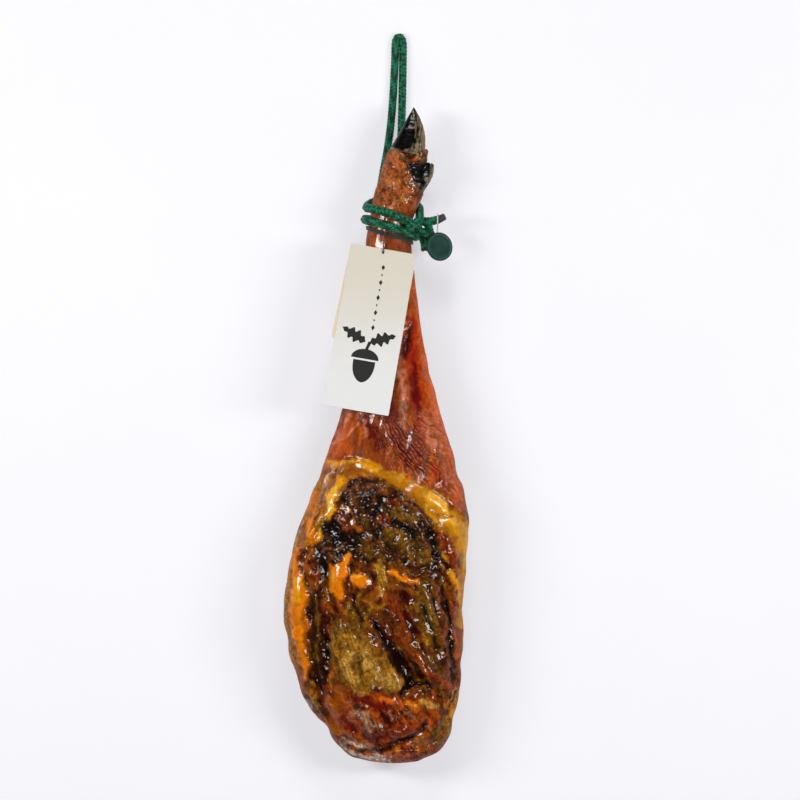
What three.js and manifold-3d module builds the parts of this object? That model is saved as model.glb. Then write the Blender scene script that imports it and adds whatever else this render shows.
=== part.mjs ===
// A cured pork shoulder on the bone, laid on its skin side with the trimmed face up. With it come the rope that it
// hangs by, a thin band, two card labels on a string and a round seal. Millimetres, +Z up, +Y towards the hoof.
import * as THREE from "three";
import { mergeVertices } from "three/addons/utils/BufferGeometryUtils.js";
import Module from "manifold-3d";

const wasm = await Module();
wasm.setup();

// Sections of the leg from the cut end to the hoof: place along the leg, left and right edge seen from above, lowest
// and highest point, and how square the upper half is, where 2 is an ellipse.
const LEG = [
  { y: -350, left: -8, right: 44, low: 27, high: 50, square: 2.2 },
  { y: -343, left: -29, right: 62, low: 15, high: 62, square: 2.3 },
  { y: -328, left: -42.5, right: 75.5, low: 4, high: 75, square: 2.5 },
  { y: -312, left: -53, right: 80, low: 0, high: 81, square: 2.6 },
  { y: -290, left: -71, right: 84.5, low: -2, high: 86, square: 2.8 },
  { y: -262, left: -82, right: 89.5, low: -3, high: 90, square: 2.9 },
  { y: -192, left: -96.8, right: 92, low: -4, high: 96, square: 3 },
  { y: -128, left: -88.5, right: 95.4, low: -4, high: 98, square: 2.9 },
  { y: -90, left: -77, right: 98, low: -4, high: 98, square: 2.7 },
  { y: -40, left: -56.7, right: 85.5, low: -2, high: 94, square: 2.4 },
  { y: 18, left: -39, right: 70, low: 4, high: 87, square: 2.2 },
  { y: 90, left: -20.6, right: 52, low: 14, high: 78, square: 2 },
  { y: 154, left: -13.4, right: 43, low: 20, high: 72, square: 2 },
  { y: 207, left: -10.7, right: 37.5, low: 23, high: 69, square: 2 },
  { y: 229, left: -7, right: 39, low: 23, high: 69, square: 2.1 },
  { y: 254, left: -2.8, right: 50.5, low: 23, high: 70, square: 2.2 },
  { y: 277, left: 5, right: 54, low: 23, high: 69, square: 2.2 },
  { y: 302, left: 12.3, right: 53.8, low: 25, high: 64, square: 2.1 },
  { y: 317, left: 22.5, right: 48, low: 33, high: 56, square: 2 },
];
// How far apart the sections are drawn along the leg.
const SPACING = [
  { y: -350, apart: 2.4 },
  { y: -330, apart: 6 },
  { y: -60, apart: 6.5 },
  { y: 20, apart: 12 },
  { y: 285, apart: 11 },
  { y: 317, apart: 5 },
];
const TIED_AT = 230; // the place along the leg where the rope and the band go round it
const WIDEST_HEIGHT = 0.54; // the height of the side edges, as a share of the thickness
const UNDERSIDE_SQUARE = 2.2;
const TOP_STEPS = 32;
const UNDER_STEPS = 10;

// Where the skin ends and the bare fat begins on the trimmed face, from the left side to the right.
const SKIN_EDGE = [
  [-54, -31],
  [-28, -27],
  [-4, -33],
  [20, -43],
  [42, -54],
  [63, -64],
  [82, -80],
  [96, -97],
];
const SKIN_STEP = 2.2; // how far the skin stands above the fat at that edge
const SKIN_FADE = 45; // and the length over which that height runs out towards the hoof

// The lean meat inside the fat rim lies lower: left and right edge of the hollow along the leg.
const LEAN = [
  { y: -340, left: -24, right: 54 },
  { y: -325, left: -40, right: 72 },
  { y: -296, left: -58, right: 84 },
  { y: -264, left: -69, right: 86 },
  { y: -221, left: -74, right: 84 },
  { y: -157, left: -77, right: 78 },
  { y: -114, left: -73, right: 75 },
  { y: -93, left: -58, right: 64 },
  { y: -71, left: -39, right: 47 },
  { y: -50, left: -24, right: 10 },
];
const LEAN_DEPTH = 3.2;
const LEAN_EDGE = 5; // the width of the slope from the rim down to the lean meat

// Swellings and hollows of the trimmed face and the foot: centre, half sizes, turn in degrees, and rise.
const SWELLINGS = [
  { x: -15, y: -238, across: 32, along: 45, turn: 0, rise: 5 }, // cut face of the bone
  { x: 10, y: -308, across: 54, along: 28, turn: 0, rise: 5 }, // lobe at the cut end
  { x: 56, y: -200, across: 17, along: 48, turn: 14, rise: 3.5 }, // muscle beside the right rim
  { x: -39, y: -152, across: 11, along: 18, turn: 0, rise: 3 }, // lumps of fat between the muscles
  { x: -15, y: -155, across: 11, along: 12, turn: 0, rise: 3 },
  { x: 30, y: -155, across: 17, along: 8, turn: -30, rise: 2.5 },
  { x: -84, y: -200, across: 9, along: 60, turn: 0, rise: 2.5 }, // fat along the left rim
  { x: 2, y: -100, across: 40, along: 26, turn: 0, rise: 2 }, // dry crust at the top of the lean
  { x: 50, y: 302, across: 7, along: 8, turn: 0, rise: 3 }, // heel pad behind the claws
  { x: 20, y: 262, across: 12, along: 9, turn: 0, rise: -1.5 }, // crease over the fetlock
];

// Slits, creases and ridges as lines on the upper side, with their half width and rise.
const FOLDS = [
  { line: [[-53, -146], [-54, -178], [-53, -221], [-48, -270]], width: 7, rise: -5 },
  { line: [[12, -202], [24, -227], [31, -245], [40, -264]], width: 8.5, rise: -7.5 },
  { line: [[30, -282], [39, -270], [52, -268], [62, -275]], width: 6.5, rise: -6 },
  { line: [[-2, -338], [26, -332], [42, -323], [53, -311]], width: 5.5, rise: -3 },
  { line: [[72, -152], [82, -190], [85, -232], [88, -273]], width: 6, rise: -2.5 },
  { line: [[24, -208], [47, -243], [74, -275]], width: 6.5, rise: 3 },
  { line: [[-74, -160], [-73, -220], [-64, -275]], width: 6, rise: -2.5 },
  { line: [[41, 154], [47, 79], [60, 4], [69, -50]], width: 6, rise: 2 },
  { line: [[30, 110], [37, 57], [53, -7], [62, -40]], width: 6, rise: -2.2 },
  { line: [[2, 10], [12, -15], [30, -30]], width: 8, rise: -1.5 },
];

// Horn: two claws side by side and two dewclaws behind them. Wide is the half width to the front and to the sole.
const CLAWS = {
  hoof_claw_near: { base: [31, 301, 54], tip: [40.5, 350, 51], wide: [17, 21], thick: 10.2, blunt: 0.02 },
  hoof_claw_far: { base: [31, 301, 33], tip: [39.5, 349, 38], wide: [17, 21], thick: 10.2, blunt: 0.02 },
  dewclaw_near: { base: [42, 266, 58], tip: [57.2, 290, 61], wide: [10, 10], thick: 8, blunt: 0.42 },
  dewclaw_far: { base: [43, 265, 35], tip: [61, 289.5, 33], wide: [10, 10], thick: 8, blunt: 0.42 },
};
const CLAW_RINGS = 8;
const CLAW_SIDES = 14;
const SOLE_FULLNESS = 2.3; // how long the sole side stays full before it runs in to the tip

const GAP = 0.35; // clear space between pieces that touch
const SEAT = 0.9; // clear space under the rope's turns and the band
const ROPE_RADIUS = 4.05;
const ROPE_SIDES = 8;
const BAND_WIDTH = 4.4;
const BAND_THICK = 1.4;
const STRING_RADIUS = 0.75;

// The rope's turns and the band as stations: angle round the leg, where 0 is the right side and 90 the top, place
// along the leg, and height above the skin.
const UPPER_TURN = [
  [12, 220.5, 3],
  [32, 224, 0.8],
  [55, 228.5, 0],
  [80, 232.5, 0],
  [110, 237, 0],
  [145, 240.5, 0],
  [180, 242.5, 0],
  [215, 248.5, 0],
  [250, 253, 0],
  [290, 251, 0],
  [325, 243.5, 0],
  [355, 236, 0.3],
  [372, 231, 2.8],
  [388, 227.5, 6],
  [401, 223, 5.5],
  [411, 219, 3],
];
const LOWER_TURN = [
  [0, 211, 0.5],
  [30, 213.6, 0],
  [60, 217, 0],
  [90, 221.4, 0],
  [120, 225, 0],
  [150, 227.8, 0],
  [180, 229.6, 0],
  [210, 230, 0],
  [240, 227, 0],
  [270, 222, 0],
  [300, 217, 0],
  [330, 213, 0],
];
const BAND_TURN = [
  [0, 204.5, 0],
  [30, 206.5, 0],
  [60, 209.5, 0],
  [90, 212.5, 0],
  [120, 216, 0],
  [150, 219, 0],
  [180, 220.6, 0],
  [210, 220, 0],
  [240, 217, 0],
  [270, 213, 0],
  [300, 209, 0],
  [330, 206, 0],
];

const CARD = { width: 71, length: 176, thick: 0.6, holeFromTop: 3.9, hole: 1.5 };
const BACK_CARD = { width: 70, length: 105, thick: 0.6, holeFromTop: 3, hole: 1.5 };
const CARD_HOLE = [7.6, 193.5, 75]; // where the string goes through the front card
const CARD_TURN = -9.8; // degrees, seen from above
const BACK_CARD_TURN = -12.3;
const CARD_PITCH = -5.8; // degrees, up towards the thick end of the leg
const CARD_SPACING = 1.1;

const SEAL = { radius: 15.4, thick: 4, rim: 1.4, sunk: 0.9, place: [67, 200, 49.5], tilt: [-8, 28] };

// A smooth value through the stations of a table at the place y.
function through(table, key, y) {
  const last = table.length - 1;
  if (y <= table[0].y) return table[0][key];
  if (y >= table[last].y) return table[last][key];
  const i = table.findIndex((s) => s.y > y) - 1;
  const slope = (k) => {
    const a = table[Math.max(k - 1, 0)];
    const b = table[Math.min(k + 1, last)];
    return (b[key] - a[key]) / (b.y - a.y);
  };
  const [a, b] = [table[i], table[i + 1]];
  const span = b.y - a.y;
  const t = (y - a.y) / span;
  const [t2, t3] = [t * t, t * t * t];
  return (
    (2 * t3 - 3 * t2 + 1) * a[key] +
    (t3 - 2 * t2 + t) * span * slope(i) +
    (3 * t2 - 2 * t3) * b[key] +
    (t3 - t2) * span * slope(i + 1)
  );
}

// 0 below a, 1 above b and smooth between them.
function step(a, b, v) {
  const t = Math.min(1, Math.max(0, (v - a) / (b - a)));
  return t * t * (3 - 2 * t);
}

function distanceToLine(line, x, y) {
  let best = Infinity;
  for (let i = 0; i + 1 < line.length; i++) {
    const [ax, ay] = line[i];
    const [dx, dy] = [line[i + 1][0] - ax, line[i + 1][1] - ay];
    const t = Math.min(1, Math.max(0, ((x - ax) * dx + (y - ay) * dy) / (dx * dx + dy * dy)));
    best = Math.min(best, Math.hypot(x - ax - t * dx, y - ay - t * dy));
  }
  return best;
}

// The skin edge's place along the leg at x.
function skinEdge(x) {
  const table = SKIN_EDGE.map(([at, y]) => ({ y: at, edge: y }));
  return through(table, "edge", x);
}

function section(y) {
  const [left, right, low, high, square] = ["left", "right", "low", "high", "square"].map((key) =>
    through(LEG, key, y),
  );
  return {
    middle: (left + right) / 2,
    half: (right - left) / 2,
    side: low + WIDEST_HEIGHT * (high - low),
    low,
    high,
    square,
  };
}

// A point of the plain leg: across runs from -1, the left edge, to 1, on the upper or the under side.
function legPoint(y, across, upper) {
  const s = section(y);
  const u = Math.sin((Math.PI / 2) * across);
  const power = upper ? s.square : UNDERSIDE_SQUARE;
  const height = (1 - Math.abs(u) ** power) ** (1 / power);
  const z = s.side + ((upper ? s.high : s.low) - s.side) * height;
  return new THREE.Vector3(s.middle + s.half * u, y, Math.max(z, 0));
}

// Uneven swelling all over the leg, a few centimetres from crest to crest, and none where the rope is tied round it.
function unevenness(x, y, z) {
  const away = Math.min(1, Math.max(0, (Math.abs(y - TIED_AT) - 25) / 30));
  return (
    away *
    (0.9 * Math.sin(0.11 * x + 0.04 * z + 1.3) * Math.sin(0.083 * y + 0.5) +
      0.6 * Math.sin(0.19 * x - 0.12 * y + 2) +
      0.4 * Math.sin(0.07 * x + 0.21 * y + 0.13 * z))
  );
}

// How far the trimmed face and the foot stand above the plain leg at a point seen from above.
function faceRelief(x, y) {
  let rise = 0;
  for (const s of SWELLINGS) {
    const turn = THREE.MathUtils.degToRad(s.turn);
    const [dx, dy] = [x - s.x, y - s.y];
    const across = (dx * Math.cos(turn) + dy * Math.sin(turn)) / s.across;
    const along = (-dx * Math.sin(turn) + dy * Math.cos(turn)) / s.along;
    rise += s.rise * Math.exp(-1.2 * (across * across + along * along));
  }
  for (const f of FOLDS) {
    rise += f.rise * Math.exp(-((distanceToLine(f.line, x, y) / f.width) ** 2));
  }
  const beyond = y - skinEdge(x);
  rise += SKIN_STEP * step(-1.5, 1.5, beyond) * (1 - step(0, SKIN_FADE, beyond));
  const inside = Math.min(x - through(LEAN, "left", y), through(LEAN, "right", y) - x, -48 - y, y + 340);
  return rise - LEAN_DEPTH * step(0, LEAN_EDGE, inside);
}

// Rings of points round the leg.
function legRings() {
  const last = LEG[LEG.length - 1].y;
  const places = [];
  for (let y = LEG[0].y; y < last - 3; y += through(SPACING, "apart", y)) places.push(y);
  places.push(last);
  const plain = [];
  for (const y of places) {
    const ring = [];
    for (let j = 0; j <= TOP_STEPS; j++) ring.push(legPoint(y, -1 + (2 * j) / TOP_STEPS, true));
    for (let j = 1; j < UNDER_STEPS; j++) ring.push(legPoint(y, 1 - (2 * j) / UNDER_STEPS, false));
    plain.push(ring);
  }
  const count = plain[0].length;
  return plain.map((ring, i) =>
    ring.map((p, j) => {
      const along = plain[Math.min(i + 1, plain.length - 1)][j].clone().sub(plain[Math.max(i - 1, 0)][j]);
      const round = ring[(j + 1) % count].clone().sub(ring[(j + count - 1) % count]);
      const normal = round.cross(along).normalize();
      const onFace = j < TOP_STEPS ? step(0, 0.45, normal.z) : 0;
      const lying = step(0, 6, p.z); // nothing is raised where the leg rests
      const rise = lying * unevenness(p.x, p.y, p.z) + onFace * faceRelief(p.x, p.y);
      const moved = p.clone().addScaledVector(normal, rise);
      return moved.setZ(Math.max(moved.z, 0));
    }),
  );
}

// A closed surface through rings of points, with its ends shut by fans or, where closed, joined end to end.
function skin(rings, closed = false) {
  const count = rings[0].length;
  const points = rings.flat();
  const faces = [];
  const spans = closed ? rings.length : rings.length - 1;
  for (let i = 0; i < spans; i++) {
    for (let j = 0; j < count; j++) {
      const [a, b] = [i * count + j, i * count + ((j + 1) % count)];
      const next = ((i + 1) % rings.length) * count;
      const [c, d] = [next + ((j + 1) % count), next + j];
      faces.push(a, b, c, a, c, d);
    }
  }
  if (!closed) {
    const middle = (ring) => ring.reduce((sum, p) => sum.add(p), new THREE.Vector3()).divideScalar(count);
    const start = points.push(middle(rings[0])) - 1;
    const end = points.push(middle(rings[rings.length - 1])) - 1;
    const lastRing = (rings.length - 1) * count;
    for (let j = 0; j < count; j++) {
      const next = (j + 1) % count;
      faces.push(start, next, j, end, lastRing + j, lastRing + next);
    }
  }
  return new THREE.BufferGeometry().setFromPoints(points).setIndex(faces);
}

// A tube of round section along a smooth curve through points, with a few rings in each stretch between them.
function tube(points, radius, sides, ringsPerStretch, closed = false) {
  const curve = new THREE.CatmullRomCurve3(
    points.map((p) => new THREE.Vector3(...p)),
    closed,
    "centripetal",
  );
  const steps = (closed ? points.length : points.length - 1) * ringsPerStretch;
  const normal = new THREE.Vector3(0, 0, 1);
  const rings = [];
  for (let i = 0; i < steps + (closed ? 0 : 1); i++) {
    const centre = curve.getPoint(i / steps);
    const along = curve.getTangent(i / steps);
    normal.projectOnPlane(along).normalize();
    const side = along.cross(normal);
    const ring = [];
    for (let j = 0; j < sides; j++) {
      const angle = (2 * Math.PI * j) / sides;
      ring.push(
        centre
          .clone()
          .addScaledVector(normal, radius * Math.cos(angle))
          .addScaledVector(side, radius * Math.sin(angle)),
      );
    }
    rings.push(ring);
  }
  return skin(rings, closed);
}

function solidOf(geometry) {
  const bare = geometry.clone();
  bare.deleteAttribute("normal");
  bare.deleteAttribute("uv");
  const merged = mergeVertices(bare, 1e-4);
  return new wasm.Manifold(
    new wasm.Mesh({
      numProp: 3,
      vertProperties: new Float32Array(merged.attributes.position.array),
      triVerts: new Uint32Array(merged.index.array),
    }),
  );
}

function geometryOf(solid) {
  const mesh = solid.getMesh();
  return new THREE.BufferGeometry()
    .setAttribute("position", new THREE.BufferAttribute(new Float32Array(mesh.vertProperties), 3))
    .setIndex(new THREE.BufferAttribute(new Uint32Array(mesh.triVerts), 1));
}

// The largest of a solid's separate bodies.
function largest(solid) {
  return solid.decompose().sort((a, b) => b.volume() - a.volume())[0];
}

// A claw that narrows from its base to its tip, grown outwards by extra.
function claw({ base, tip, wide, thick, blunt }, extra = 0) {
  const from = new THREE.Vector3(...base);
  const to = new THREE.Vector3(...tip);
  const along = to.clone().sub(from).normalize();
  const across = new THREE.Vector3(1, 0, 0).addScaledVector(along, -along.x).normalize();
  const up = across.clone().cross(along).normalize();
  from.addScaledVector(along, -extra);
  to.addScaledVector(along, extra);
  const rings = [];
  for (let i = 0; i <= CLAW_RINGS; i++) {
    const t = i / CLAW_RINGS;
    const narrow = blunt + (1 - blunt) * (1 - t);
    const round = blunt + (1 - blunt) * (1 - t ** SOLE_FULLNESS);
    const ring = [];
    for (let j = 0; j < CLAW_SIDES; j++) {
      const angle = (-2 * Math.PI * j) / CLAW_SIDES;
      const [c, s] = [Math.cos(angle), Math.sin(angle)];
      const reach = c < 0 ? wide[0] * narrow : wide[1] * round;
      ring.push(
        from
          .clone()
          .lerp(to, t)
          .addScaledVector(across, (reach + extra) * c)
          .addScaledVector(up, (thick * (0.35 * narrow + 0.65 * round) + extra) * s),
      );
    }
    rings.push(ring);
  }
  return skin(rings);
}

// The centre of a strand that lies on the leg at an angle round it, 0 at the right side and 90 on top.
function onLeg(y, degrees, radius) {
  const s = section(y);
  const angle = THREE.MathUtils.degToRad(degrees);
  const [across, rise] = [Math.cos(angle), Math.sign(Math.sin(angle))];
  const power = rise > 0 ? s.square : UNDERSIDE_SQUARE;
  const tall = rise > 0 ? s.high - s.side : s.side - s.low;
  const height = rise * (1 - Math.abs(across) ** power) ** (1 / power);
  const outward = new THREE.Vector2(
    (Math.sign(across) * Math.abs(across) ** (power - 1)) / s.half,
    (rise * Math.abs(height) ** (power - 1)) / tall,
  ).setLength(radius + SEAT);
  return [s.middle + s.half * across + outward.x, y, s.side + tall * height + outward.y];
}

function turnRound(stations, radius) {
  return stations.map(([degrees, y, above]) => onLeg(y, degrees, radius + above));
}

// The band's middle line, with its flat side kept against the leg.
function bandGeometry() {
  const stations = BAND_TURN.map(([degrees, y]) => ({ y: degrees, level: y }));
  stations.push({ y: 360, level: BAND_TURN[0][1] });
  const rings = [];
  for (let degrees = 0; degrees < 360; degrees += 10) {
    const y = through(stations, "level", degrees);
    const [inner, outer] = [0, BAND_THICK].map((height) => onLeg(y, degrees, height));
    const half = BAND_WIDTH / 2;
    rings.push(
      [
        [inner, -half],
        [outer, -half],
        [outer, half],
        [inner, half],
      ].map(([at, along]) => new THREE.Vector3(at[0], at[1] + along, at[2])),
    );
  }
  return skin(rings, true);
}

// The rope's two turns round the leg with the knot beside it and the two tails, as one solid.
function ropeTurns() {
  const strands = [
    tube([...KNOT_STRAND, ...turnRound(UPPER_TURN, ROPE_RADIUS)], ROPE_RADIUS, ROPE_SIDES, 2),
    tube(turnRound(LOWER_TURN, ROPE_RADIUS), ROPE_RADIUS, ROPE_SIDES, 3, true),
    tube(TAIL, ROPE_RADIUS, ROPE_SIDES, 2),
    tube(SECOND_TAIL, ROPE_RADIUS, ROPE_SIDES, 3),
    tube(HIDDEN_STRAND, ROPE_RADIUS, ROPE_SIDES, 2),
  ];
  return strands.map(solidOf).reduce((all, strand) => all.add(strand));
}

// Strands of the knot beside the leg, as points along their middle. The first runs on into the upper turn.
const KNOT_STRAND = [
  [56.5, 214.5, 47],
  [52, 215.5, 51],
  [46.5, 217.2, 54],
];
const TAIL = [
  [42, 226, 57],
  [49, 227, 55.5],
  [57, 227.2, 55],
  [63, 228.2, 55],
  [67.6, 229.6, 55.2],
];
const SECOND_TAIL = [
  [44, 213, 46],
  [49, 211.5, 44],
  [52, 205, 42],
  [52.9, 196.5, 40.5],
];
const HIDDEN_STRAND = [
  [55.5, 224, 51],
  [57.5, 217, 47],
  [59.5, 210, 44],
  [61, 204, 42.5],
];
const TAIL_TAPE = [
  [68, 229.9, 55.3],
  [71, 231, 55.6],
  [74.4, 232.3, 56],
];

// The hanging loop lies on the table: out from the upper turn under the foot, round its fold and back.
const LOOP = [
  [4.9, 256.8, 19.2],
  [4.8, 263.5, 16],
  [6.2, 273, 13],
  [8.6, 287, 9],
  [11.8, 304, 5.8],
  [15.3, 329, 4.3],
  [17.8, 357, 4.3],
  [19.4, 384, 4.3],
  [20.5, 408, 4.3],
  [20.7, 419, 4.3],
  [22, 425, 4.3],
  [24.8, 427.3, 4.3],
  [27.6, 425, 4.3],
  [28.9, 419, 4.3],
  [28.9, 408, 4.3],
  [28.6, 384, 4.3],
  [28.1, 357, 4.3],
  [27.3, 331, 4.3],
  [25.8, 304, 5.8],
  [24.2, 287, 9],
  [22.8, 273, 13],
  [21.9, 263.5, 16],
  [21.5, 257.5, 17.2],
];

// The string hangs from the band, goes through both cards and comes back under them.
const STRING = [
  [9.6, 216.2, 72.6],
  [9.2, 213, 72.8],
  [8.5, 206, 72.6],
  [7.9, 199.5, 75.6],
  [7.5, 194.6, 77.2],
  [7.6, 193.5, 75.8],
  [7.7, 193.6, 73.6],
  [8.4, 195.8, 71.6],
  [10, 200, 71.2],
  [12.4, 205.5, 71.6],
  [14.6, 210, 72.6],
  [15.6, 214.2, 72.6],
];

// A card with a punched hole near its top edge, hung by that hole.
function cardGeometry(card) {
  const outline = new THREE.Shape();
  const [half, top] = [card.width / 2, card.holeFromTop];
  outline.moveTo(-half, top);
  outline.lineTo(-half, top - card.length);
  outline.lineTo(half, top - card.length);
  outline.lineTo(half, top);
  outline.closePath();
  const hole = new THREE.Path();
  hole.absarc(0, 0, card.hole, 0, 2 * Math.PI, true);
  outline.holes.push(hole);
  return new THREE.ExtrudeGeometry(outline, { depth: card.thick, bevelEnabled: false, curveSegments: 8 });
}

// A disc with a raised rim round a sunk face, lying flat.
function sealGeometry() {
  const { radius, thick, rim, sunk } = SEAL;
  const profile = [
    [0, 0],
    [radius - 0.8, 0],
    [radius, 0.9],
    [radius, thick - 0.9],
    [radius - 0.6, thick],
    [radius - rim, thick],
    [radius - rim - 0.7, thick - sunk],
    [0, thick - sunk],
  ].map(([r, h]) => new THREE.Vector2(r, h));
  return new THREE.LatheGeometry(profile, 28).rotateX(Math.PI / 2);
}

// A clear tie from the seal's back round the rope's tail.
const TIE = [
  [65.6, 211.5, 44.4],
  [65.8, 218, 45.4],
  [66, 225.4, 48.6],
  [66, 231, 49.6],
  [66, 234.8, 53],
  [66, 234.4, 58],
  [66, 229.6, 60.4],
  [66, 224.6, 58.4],
  [66, 222.6, 53.6],
  [65.8, 218, 47.6],
  [65.6, 211.5, 46.2],
];
const TIE_RADIUS = 0.7;

const material = (colour, roughness) =>
  new THREE.MeshStandardMaterial({ color: colour, roughness, metalness: 0 });
const MATERIALS = {
  cured: material(0x8a3a14, 0.35),
  horn: material(0x14110e, 0.3),
  rope: material(0x0f5a3c, 0.55),
  tape: material(0x1a1418, 0.4),
  band: material(0x1c2a26, 0.6),
  string: material(0x1b1a18, 0.7),
  card: material(0xe2dccb, 0.8),
  seal: material(0x1f463b, 0.4),
  tie: material(0xd8dadc, 0.2),
};

const object = new THREE.Group();

function place(name, geometry, finish, position = [0, 0, 0], degrees = [0, 0, 0]) {
  const mesh = new THREE.Mesh(geometry, MATERIALS[finish]);
  mesh.name = name;
  mesh.position.set(...position);
  mesh.rotation.set(...degrees.map(THREE.MathUtils.degToRad), "ZXY");
  object.add(mesh);
}

let ham = solidOf(skin(legRings()));
for (const [name, shape] of Object.entries(CLAWS)) {
  ham = ham.subtract(solidOf(claw(shape, GAP)));
  place(name, claw(shape), "horn");
}
place("ham", geometryOf(largest(ham)), "cured");

place("rope_turns", geometryOf(ropeTurns()), "rope");
place("rope_loop", tube(LOOP, ROPE_RADIUS, ROPE_SIDES, 3), "rope");
place("rope_end_tape", tube(TAIL_TAPE, ROPE_RADIUS + 0.2, 12, 1), "tape");
place("neck_band", bandGeometry(), "band");
place("tag_string", tube(STRING, STRING_RADIUS, 6, 3), "string");
place("card_front", cardGeometry(CARD), "card", CARD_HOLE, [CARD_PITCH, 0, CARD_TURN]);
const backPlace = [CARD_HOLE[0], CARD_HOLE[1], CARD_HOLE[2] - CARD_SPACING];
place("card_back", cardGeometry(BACK_CARD), "card", backPlace, [CARD_PITCH, 0, BACK_CARD_TURN]);
place("seal", sealGeometry(), "seal", SEAL.place, [SEAL.tilt[0], SEAL.tilt[1], 0]);
place("seal_tie", tube(TIE, TIE_RADIUS, 6, 2, true), "tie");

export default object;
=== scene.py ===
"""A cured pork shoulder on the bone, laid on its skin side with the trimmed face up, seen from above."""

from math import cos, pi, radians, sin

import bpy
import numpy as np
from mathutils import Euler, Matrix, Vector


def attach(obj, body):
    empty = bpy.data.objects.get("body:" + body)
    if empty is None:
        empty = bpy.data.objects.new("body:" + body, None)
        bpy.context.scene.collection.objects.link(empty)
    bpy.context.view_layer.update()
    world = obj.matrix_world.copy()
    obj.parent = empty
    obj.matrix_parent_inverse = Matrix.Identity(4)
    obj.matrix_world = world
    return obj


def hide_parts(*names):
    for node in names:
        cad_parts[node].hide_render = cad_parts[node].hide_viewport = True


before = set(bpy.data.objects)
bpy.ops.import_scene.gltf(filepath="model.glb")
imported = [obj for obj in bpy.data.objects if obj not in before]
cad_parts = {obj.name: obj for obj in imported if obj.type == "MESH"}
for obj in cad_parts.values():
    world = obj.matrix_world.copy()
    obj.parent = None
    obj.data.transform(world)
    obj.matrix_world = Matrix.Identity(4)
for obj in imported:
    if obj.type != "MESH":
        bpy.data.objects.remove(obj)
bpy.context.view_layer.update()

MM = 0.001
BODY = "root"
SEED = 11

# The view

SEEN_WIDTH = 857.6  # mm of the object's plane that the camera sees
SEEN_MIDDLE = (25.7, 35.9)
SEEN_PLANE = 50  # the height of the leg's sides
CAMERA_DISTANCE = 8000
SENSOR = 36

# Sections of the leg, as in the part: place, edges, lowest and highest point, and squareness on top.

LEG = [
    dict(y=-350, left=-8, right=44, low=27, high=50, square=2.2),
    dict(y=-343, left=-29, right=62, low=15, high=62, square=2.3),
    dict(y=-328, left=-42.5, right=75.5, low=4, high=75, square=2.5),
    dict(y=-312, left=-53, right=80, low=0, high=81, square=2.6),
    dict(y=-290, left=-71, right=84.5, low=-2, high=86, square=2.8),
    dict(y=-262, left=-82, right=89.5, low=-3, high=90, square=2.9),
    dict(y=-192, left=-96.8, right=92, low=-4, high=96, square=3),
    dict(y=-128, left=-88.5, right=95.4, low=-4, high=98, square=2.9),
    dict(y=-90, left=-77, right=98, low=-4, high=98, square=2.7),
    dict(y=-40, left=-56.7, right=85.5, low=-2, high=94, square=2.4),
    dict(y=18, left=-39, right=70, low=4, high=87, square=2.2),
    dict(y=90, left=-20.6, right=52, low=14, high=78, square=2),
    dict(y=154, left=-13.4, right=43, low=20, high=72, square=2),
    dict(y=207, left=-10.7, right=37.5, low=23, high=69, square=2),
    dict(y=229, left=-7, right=39, low=23, high=69, square=2.1),
    dict(y=254, left=-2.8, right=50.5, low=23, high=70, square=2.2),
    dict(y=277, left=5, right=54, low=23, high=69, square=2.2),
    dict(y=302, left=12.3, right=53.8, low=25, high=64, square=2.1),
    dict(y=317, left=22.5, right=48, low=33, high=56, square=2),
]
TIED_AT = 230  # the middle of the rope's turns
WIDEST_HEIGHT = 0.54
UNDERSIDE_SQUARE = 2.2
ROPE_RADIUS = 4.05
SEAT = 0.9  # what is wound round the leg starts this far off its plain form


def through(stations, key, y):
    """A smooth value through the stations of a table at the places y."""
    at = np.array([s["y"] for s in stations], float)
    value = np.array([s[key] for s in stations], float)
    slope = np.empty_like(value)
    slope[1:-1] = (value[2:] - value[:-2]) / (at[2:] - at[:-2])
    slope[0] = (value[1] - value[0]) / (at[1] - at[0])
    slope[-1] = (value[-1] - value[-2]) / (at[-1] - at[-2])
    y = np.clip(np.asarray(y, float), at[0], at[-1])
    i = np.clip(np.searchsorted(at, y, side="right") - 1, 0, len(at) - 2)
    span = at[i + 1] - at[i]
    t = (y - at[i]) / span
    return (
        (2 * t**3 - 3 * t**2 + 1) * value[i]
        + (t**3 - 2 * t**2 + t) * span * slope[i]
        + (3 * t**2 - 2 * t**3) * value[i + 1]
        + (t**3 - t**2) * span * slope[i + 1]
    )


def step(a, b, v):
    t = np.clip((v - a) / (b - a), 0, 1)
    return t * t * (3 - 2 * t)


def section(y):
    """The leg's section at the places y. Side is the height at which it is widest."""
    names = ("left", "right", "low", "high", "square")
    left, right, low, high, square = (through(LEG, name, y) for name in names)
    side = low + WIDEST_HEIGHT * (high - low)
    middle, half = (left + right) / 2, (right - left) / 2
    return dict(middle=middle, half=half, side=side, low=low, high=high, square=square)


def on_leg(y, degrees, height):
    """The point at that height over the leg's skin. An angle of 0 is its right side, and 90 the top."""
    s = section(y)
    across = cos(radians(degrees))
    rise = 1 if sin(radians(degrees)) >= 0 else -1
    power = s["square"] if rise > 0 else UNDERSIDE_SQUARE
    tall = s["high"] - s["side"] if rise > 0 else s["side"] - s["low"]
    level = rise * (1 - abs(across) ** power) ** (1 / power)
    outward = Vector(
        (
            (1 if across >= 0 else -1) * abs(across) ** (power - 1) / s["half"],
            rise * abs(level) ** (power - 1) / tall,
        )
    ).normalized() * (height + SEAT)
    return [s["middle"] + s["half"] * across + outward.x, y, s["side"] + tall * level + outward.y]


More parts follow.
